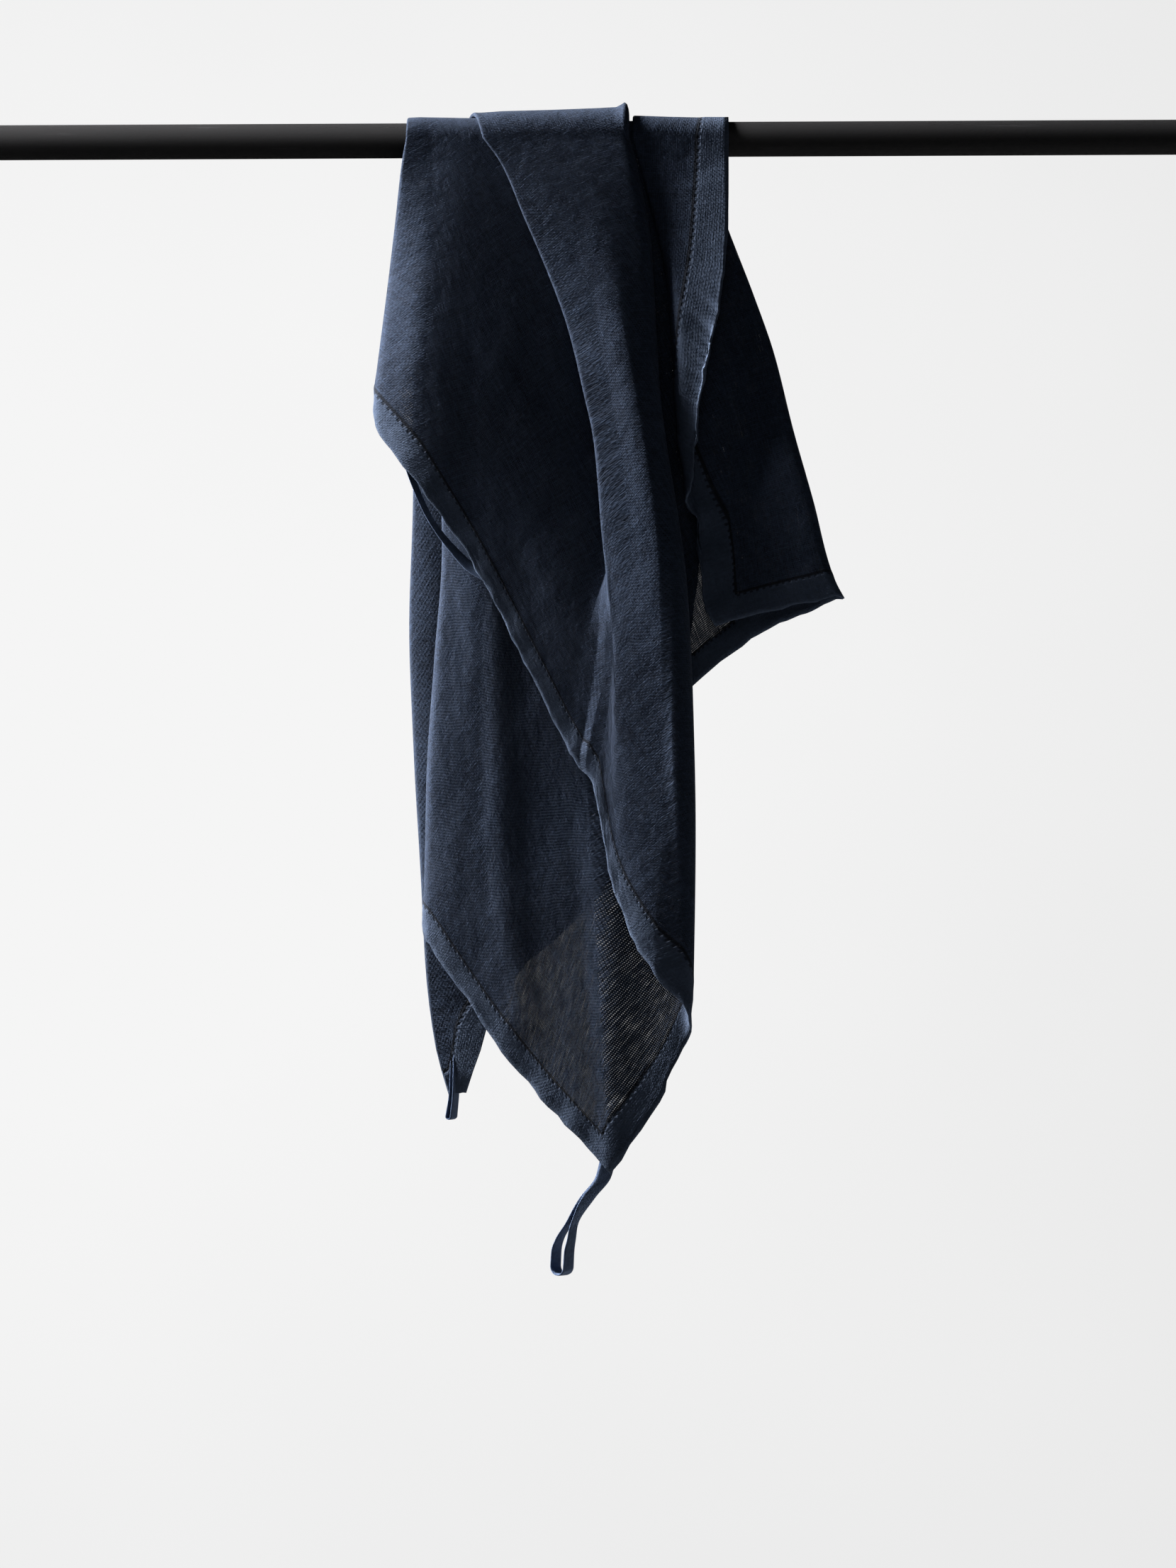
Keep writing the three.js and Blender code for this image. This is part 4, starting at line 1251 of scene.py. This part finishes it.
@dataclass
class SideTape:
    """The tape sewn behind the middle of one long hem, which bows out past the edge.

    Rows hold: mm below the rod's axis, x, mm in front of the axis plane and degrees turned.
    """

    rows: tuple[Row, ...] = (
        (134, 213.5, 20, 60), (150, 218, 20.8, 64), (163, 222.6, 21.4, 68), (176, 229, 21.6, 68),
        (188, 238, 21.8, 60), (197, 247, 22, 46), (201, 254.5, 22.2, 36),
    )
    tape_width: float = 7.0
    tape_thickness: float = 0.7
    steps: int = 60
    across_steps: int = 6

    def read(self, column: int, share: float) -> float:
        """Reads one column of the rows at a share of the tape's length."""
        keys = [i / (len(self.rows) - 1) for i in range(len(self.rows))]
        return smooth(keys, [row[column] for row in self.rows], share)

    def point(self, share: float) -> Points:
        """Gives the tape's middle at a share of its length, in mm."""
        down, x, out = (self.read(column, share) for column in (0, 1, 2))
        return np.array([HANG.plumb(x, down), -out, -down])

    def build(self) -> bpy.types.Object:
        """Sweeps the tape through its rows.

        Returns:
            The tape.
        """
        stations = []
        for i in range(self.steps + 1):
            share = i / self.steps
            tangent = self.point(min(1.0, share + 0.01)) - self.point(max(0.0, share - 0.01))
            inward = np.array([tangent[2], 0.0, -tangent[0]])
            inward /= np.linalg.norm(inward)
            if inward[2] < 0:
                inward = -inward
            turned = math.radians(self.read(3, share))
            across = inward * math.cos(turned) + np.array([0, math.sin(turned), 0])
            stations.append((self.point(share), across))
        return swept_tape("side_tape_band", stations, self.tape_width, self.tape_thickness, self.across_steps)

    def dress(self, piece: bpy.types.Object, finish: bpy.types.Material) -> None:
        """Gives the tape its finish and fixes it to the body.

        Args:
            piece: The tape's object.
            finish: The tape's material.
        """
        piece.data.materials.append(finish)
        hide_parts("side_tape")
        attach(piece, "root")


# Rod


@dataclass(frozen=True)
class BlackPaint:
    """Matt black sprayed paint on steel: a soft broad highlight with faint specks and rub marks."""

    name: str = "matt_black_painted_steel"
    base: str = "#181819"
    rubbed: str = "#2a2a2c"
    speck_mm: float = 0.9
    rub_scale: tuple[float, float, float] = (14.0, 260.0, 260.0)  # long marks along the rod
    roughness: tuple[float, float] = (0.95, 0.8)  # plain, and where it is rubbed
    gloss: float = 0.04

    def material(self) -> bpy.types.Material:
        """Builds the paint's nodes.

        Returns:
            The material.
        """
        s = Shader(self.name)
        place = s.add("TexCoord", out=3)
        speck = s.add("TexNoise", Vector=place, Scale=1000 / self.speck_mm, Detail=2.0)
        stretched = s.add("Mapping", Vector=place, Scale=self.rub_scale)
        rub = s.add("TexNoise", Vector=stretched, Scale=1.0, Detail=5.0, Roughness=0.7)
        rubbed = s.add("MapRange", rub, 0.6, 0.74, 0.0, 0.7, settings={"interpolation_type": "SMOOTHSTEP"})
        colours = {"data_type": "RGBA"}
        tone = s.add("Mix", rubbed, settings=colours, i6=linear(self.base), i7=linear(self.rubbed), out=2)
        rough = s.add("MapRange", rub, 0.3, 0.75, *self.roughness)
        bump = s.add("Bump", Strength=0.25, Distance=0.0002, Height=speck)
        paint = s.add(
            "BsdfPrincipled", Base_Color=tone, Roughness=rough, Normal=bump,
            IOR=1.5, Specular_IOR_Level=self.gloss,
        )
        s.add("OutputMaterial", Surface=paint)
        return s.material


@dataclass
class Rod:
    """The round rod, cut off square at both ends."""

    length: float = 600.0
    radius: float = 8.0
    chamfer: float = 0.6
    chamfer_steps: int = 4
    sides: int = 96

    def build(self) -> bpy.types.Object:
        """Turns the rod's outline about its axis.

        Returns:
            The rod.
        """
        rings = [(0.0, self.radius - self.chamfer)]
        for i in range(self.chamfer_steps + 1):
            angle = math.pi / 2 * i / self.chamfer_steps
            inset, drop = self.chamfer * (1 - math.cos(angle)), self.chamfer * (1 - math.sin(angle))
            rings.append((inset, self.radius - drop))
        rings += [(self.length - x, r) for x, r in reversed(rings)]
        points, faces = [], []
        for x, r in rings:
            for k in range(self.sides):
                angle = 2 * math.pi * k / self.sides
                points.append((x, r * math.cos(angle), r * math.sin(angle)))
        for i in range(len(rings) - 1):
            for k in range(self.sides):
                following = (k + 1) % self.sides
                a, b = i * self.sides + k, i * self.sides + following
                faces.append((a, b, b + self.sides, a + self.sides))
        faces.append(tuple(range(self.sides))[::-1])
        first = (len(rings) - 1) * self.sides
        faces.append(tuple(range(first, first + self.sides)))
        return mesh_object("painted_rod", np.array(points) * MM, faces)

    def dress(self, piece: bpy.types.Object) -> None:
        """Paints the rod and fixes it to the body.

        Args:
            piece: The rod's object.
        """
        piece.data.materials.append(BlackPaint().material())
        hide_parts("rod")
        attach(piece, "root")


# Studio


@dataclass(frozen=True)
class Studio:
    """Pale studio with one strong soft light on the left, two weak fills, and the camera."""

    centre: tuple[float, float, float] = (0.3, 0.0, -0.2957)
    distance: float = 2.4
    picture_height: float = 0.72
    sensor_height: float = 24.0
    roll_degrees: float = 0.27
    beyond: str = "#f3f3f3"
    around: str = "#f4f6fa"
    around_strength: float = 0.06
    wall_bright: str = "#f5f5f5"
    wall_dim: str = "#e8e8e8"
    wall_cloud: float = 0.4  # how unevenly bright the wall's painted light is, in soft clouds
    wall_sides: tuple[float, float] = (-4.5, 5.1)
    wall_height: float = 3.2
    # The middle of the wall's bright part, and the distances from it over which it dims
    glow_x: float = -0.19
    glow_z: float = -0.18
    glow_reach: tuple[float, float] = (0.43, 1.54)
    floor_dim: str = "#e9e9e7"
    floor_bright: str = "#f1f1ef"
    floor_sides: tuple[float, float] = (-2.2, 2.8)
    wall_distance: float = 3.4  # further out than the camera goes round the towel
    floor_height: float = -1.6
    spread_degrees: float = 70.0
    # name, place, aim, size, watts, colour
    lamps: tuple[tuple[str, Row, Row, tuple[float, float], float, str], ...] = (
        ("window_left", (-1.3, -0.14, 0.8), (0.26, 0, -0.22), (0.6, 1.1), 64.0, "#fffdfb"),
        ("fill_front", (0.2, -2.4, 1.2), (0.3, 0, -0.3), (1.2, 1.2), 0.5, "#ffffff"),
        ("fill_rear", (-0.9, 2.0, 0.7), (0.3, 0, -0.25), (1.2, 1.2), 7.0, "#ffffff"),
    )

    def camera(self) -> None:
        """Sets up the camera, level with the middle of the picture."""
        data = bpy.data.cameras.new("camera")
        data.sensor_fit = "VERTICAL"
        data.sensor_height = self.sensor_height
        data.lens = self.sensor_height * self.distance / self.picture_height
        data.clip_end = 60.0
        camera = bpy.data.objects.new("camera", data)
        camera.location = (self.centre[0], -self.distance, self.centre[2])
        camera.rotation_euler = (math.radians(90), math.radians(self.roll_degrees), 0)
        bpy.context.scene.collection.objects.link(camera)
        bpy.context.scene.camera = camera

    def light(
        self, name: str, place: Row, aim: Row, size: tuple[float, float], watts: float, colour: str
    ) -> None:
        """Adds a rectangular soft light.

        Args:
            name: The light's name.
            place: Where it stands, in metres.
            aim: The point that it faces, in metres.
            size: Its width and height in metres.
            watts: Its power.
            colour: Its sRGB hex colour.
        """
        data = bpy.data.lights.new(name, "AREA")
        data.shape = "RECTANGLE"
        data.size, data.size_y = size
        data.energy = watts
        data.color = linear(colour)[:3]
        data.spread = math.radians(self.spread_degrees)
        lamp = bpy.data.objects.new(name, data)
        lamp.location = place
        lamp.rotation_euler = (Vector(aim) - Vector(place)).to_track_quat("-Z", "Y").to_euler()
        bpy.context.scene.collection.objects.link(lamp)

    def build(self) -> None:
        """Lights the scene and sets the floor and the wall."""
        for lamp in self.lamps:
            self.light(*lamp)
        self.air()
        bpy.context.scene.view_settings.view_transform = "Standard"
        bpy.context.scene.view_settings.look = "None"
        self.floor_piece()
        self.wall_piece()

    def air(self) -> None:
        """Fills the studio with a faint even light, and shows the camera a pale ground beyond it."""
        world = bpy.data.worlds.new("studio_air")
        bpy.context.scene.world = world
        world.use_nodes = True
        tree = world.node_tree
        tree.nodes.clear()
        path = tree.nodes.new("ShaderNodeLightPath")
        mix = tree.nodes.new("ShaderNodeMixShader")
        out = tree.nodes.new("ShaderNodeOutputWorld")
        tree.links.new(path.outputs["Is Camera Ray"], mix.inputs[0])
        for socket, colour, strength in ((1, self.around, self.around_strength), (2, self.beyond, 1.0)):
            ground = tree.nodes.new("ShaderNodeBackground")
            ground.inputs[0].default_value = linear(colour)
            ground.inputs[1].default_value = strength
            tree.links.new(ground.outputs[0], mix.inputs[socket])
        tree.links.new(mix.outputs[0], out.inputs[0])

    def floor_piece(self) -> bpy.types.Object:
        """Lays the floor, as plain pale plaster.

        Returns:
            The floor.
        """
        (left, right), near, far = self.floor_sides, -self.distance, self.wall_distance
        corners = ((left, near), (right, near), (right, far), (left, far))
        points = np.array([(x, y, self.floor_height) for x, y in corners])
        floor = mesh_object("floor", points, [(0, 1, 2, 3)])
        s = Shader("pale_plaster_floor")
        cloud = s.add("TexNoise", Scale=3.0, Detail=4.0)
        dim, bright = linear(self.floor_dim), linear(self.floor_bright)
        tone = s.add("Mix", cloud, settings={"data_type": "RGBA"}, i6=dim, i7=bright, out=2)
        plaster = s.add("BsdfPrincipled", Base_Color=tone, Roughness=0.85)
        # The lamps hardly reach the far parts of the floor, so the camera sees it evenly pale.
        pale = s.add("Emission", tone, 1.0)
        seen = s.add("LightPath", out="Is Camera Ray")
        s.add("OutputMaterial", Surface=s.add("MixShader", seen, plaster, pale))
        floor.data.materials.append(s.material)
        return floor

    def wall_piece(self) -> bpy.types.Object:
        """Makes the wall, a little brighter on the window's side, seen by the camera only.

        Returns:
            The wall, well behind the towel.
        """
        far = self.wall_distance
        (left, right), low, high = self.wall_sides, self.floor_height, self.wall_height
        corners = ((left, low), (right, low), (right, high), (left, high))
        wall = mesh_object("wall", np.array([(x, far, z) for x, z in corners]), [(0, 1, 2, 3)])
        s = Shader("pale_painted_wall")
        place = s.add("TexCoord", out=3)
        # Painted light: the wall glows brighter round a point on the window's side, in soft clouds.
        away = s.add("VectorMath:DISTANCE", place, (self.glow_x, far, self.glow_z), out="Value")
        share = s.add("MapRange", away, *self.glow_reach)
        cloud = s.add("TexNoise", Vector=place, Scale=1.8, Detail=3.0)
        share = s.add("Math:MULTIPLY_ADD", cloud, self.wall_cloud, share)
        share = s.add("Math:SUBTRACT", share, self.wall_cloud / 2, settings={"use_clamp": True})
        bright, dim = linear(self.wall_bright), linear(self.wall_dim)
        tone = s.add("Mix", share, settings={"data_type": "RGBA"}, i6=bright, i7=dim, out=2)
        shown = s.add("Emission", tone, 1.0)
        hidden = s.add("BsdfTransparent")
        seen = s.add("LightPath", out="Is Camera Ray")
        s.add("OutputMaterial", Surface=s.add("MixShader", seen, hidden, shown))
        wall.data.materials.append(s.material)
        return wall


FIRST_LOOP: tuple[Row, ...] = (
    (466, 309, 33.3, 12, 1.5), (474, 306.8, 33.2, 8, 1.5), (483, 299.8, 32.9, 26, 1.7),
    (494, 293, 32.4, 60, 2.6), (502, 289.8, 32.6, 56, 6.4), (507, 288.6, 32.6, 50, 7.6),
    (514, 288.2, 32.6, 48, 7.8),
)
LAST_LOOP: tuple[Row, ...] = (
    (409, 239, -17.3, 62, 1.5), (426, 238.6, -17.2, 64, 1.6), (439, 238, -17.1, 66, 1.8),
    (449, 236.8, -16.8, 64, 2.4),
)


def main() -> None:
    """Builds the camera, the towel, its tapes, the rod and the studio in order."""
    logging.basicConfig(level=logging.INFO, format="%(name)s: %(message)s")
    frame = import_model()
    LOG.info("frame nodes: %s", ", ".join(sorted(frame["nodes"])))
    studio = Studio()
    studio.camera()

    towel = Towel()
    cloth = towel.build()
    towel.dress(cloth)

    tape = LinenTape().material()
    for loop in (
        CornerLoop("first_corner_loop_tape", "first_corner_loop", FIRST_LOOP),
        CornerLoop("last_corner_loop_tape", "last_corner_loop", LAST_LOOP),
    ):
        piece = loop.build()
        loop.dress(piece, tape)
        LOG.info("%s: %d vertices", piece.name, len(piece.data.vertices))
    side = SideTape()
    band = side.build()
    side.dress(band, tape)
    LOG.info("%s: %d vertices", band.name, len(band.data.vertices))

    rod = Rod()
    bar = rod.build()
    rod.dress(bar)
    LOG.info("%s: %d vertices", bar.name, len(bar.data.vertices))

    studio.build()


if __name__ == "__main__":
    main()
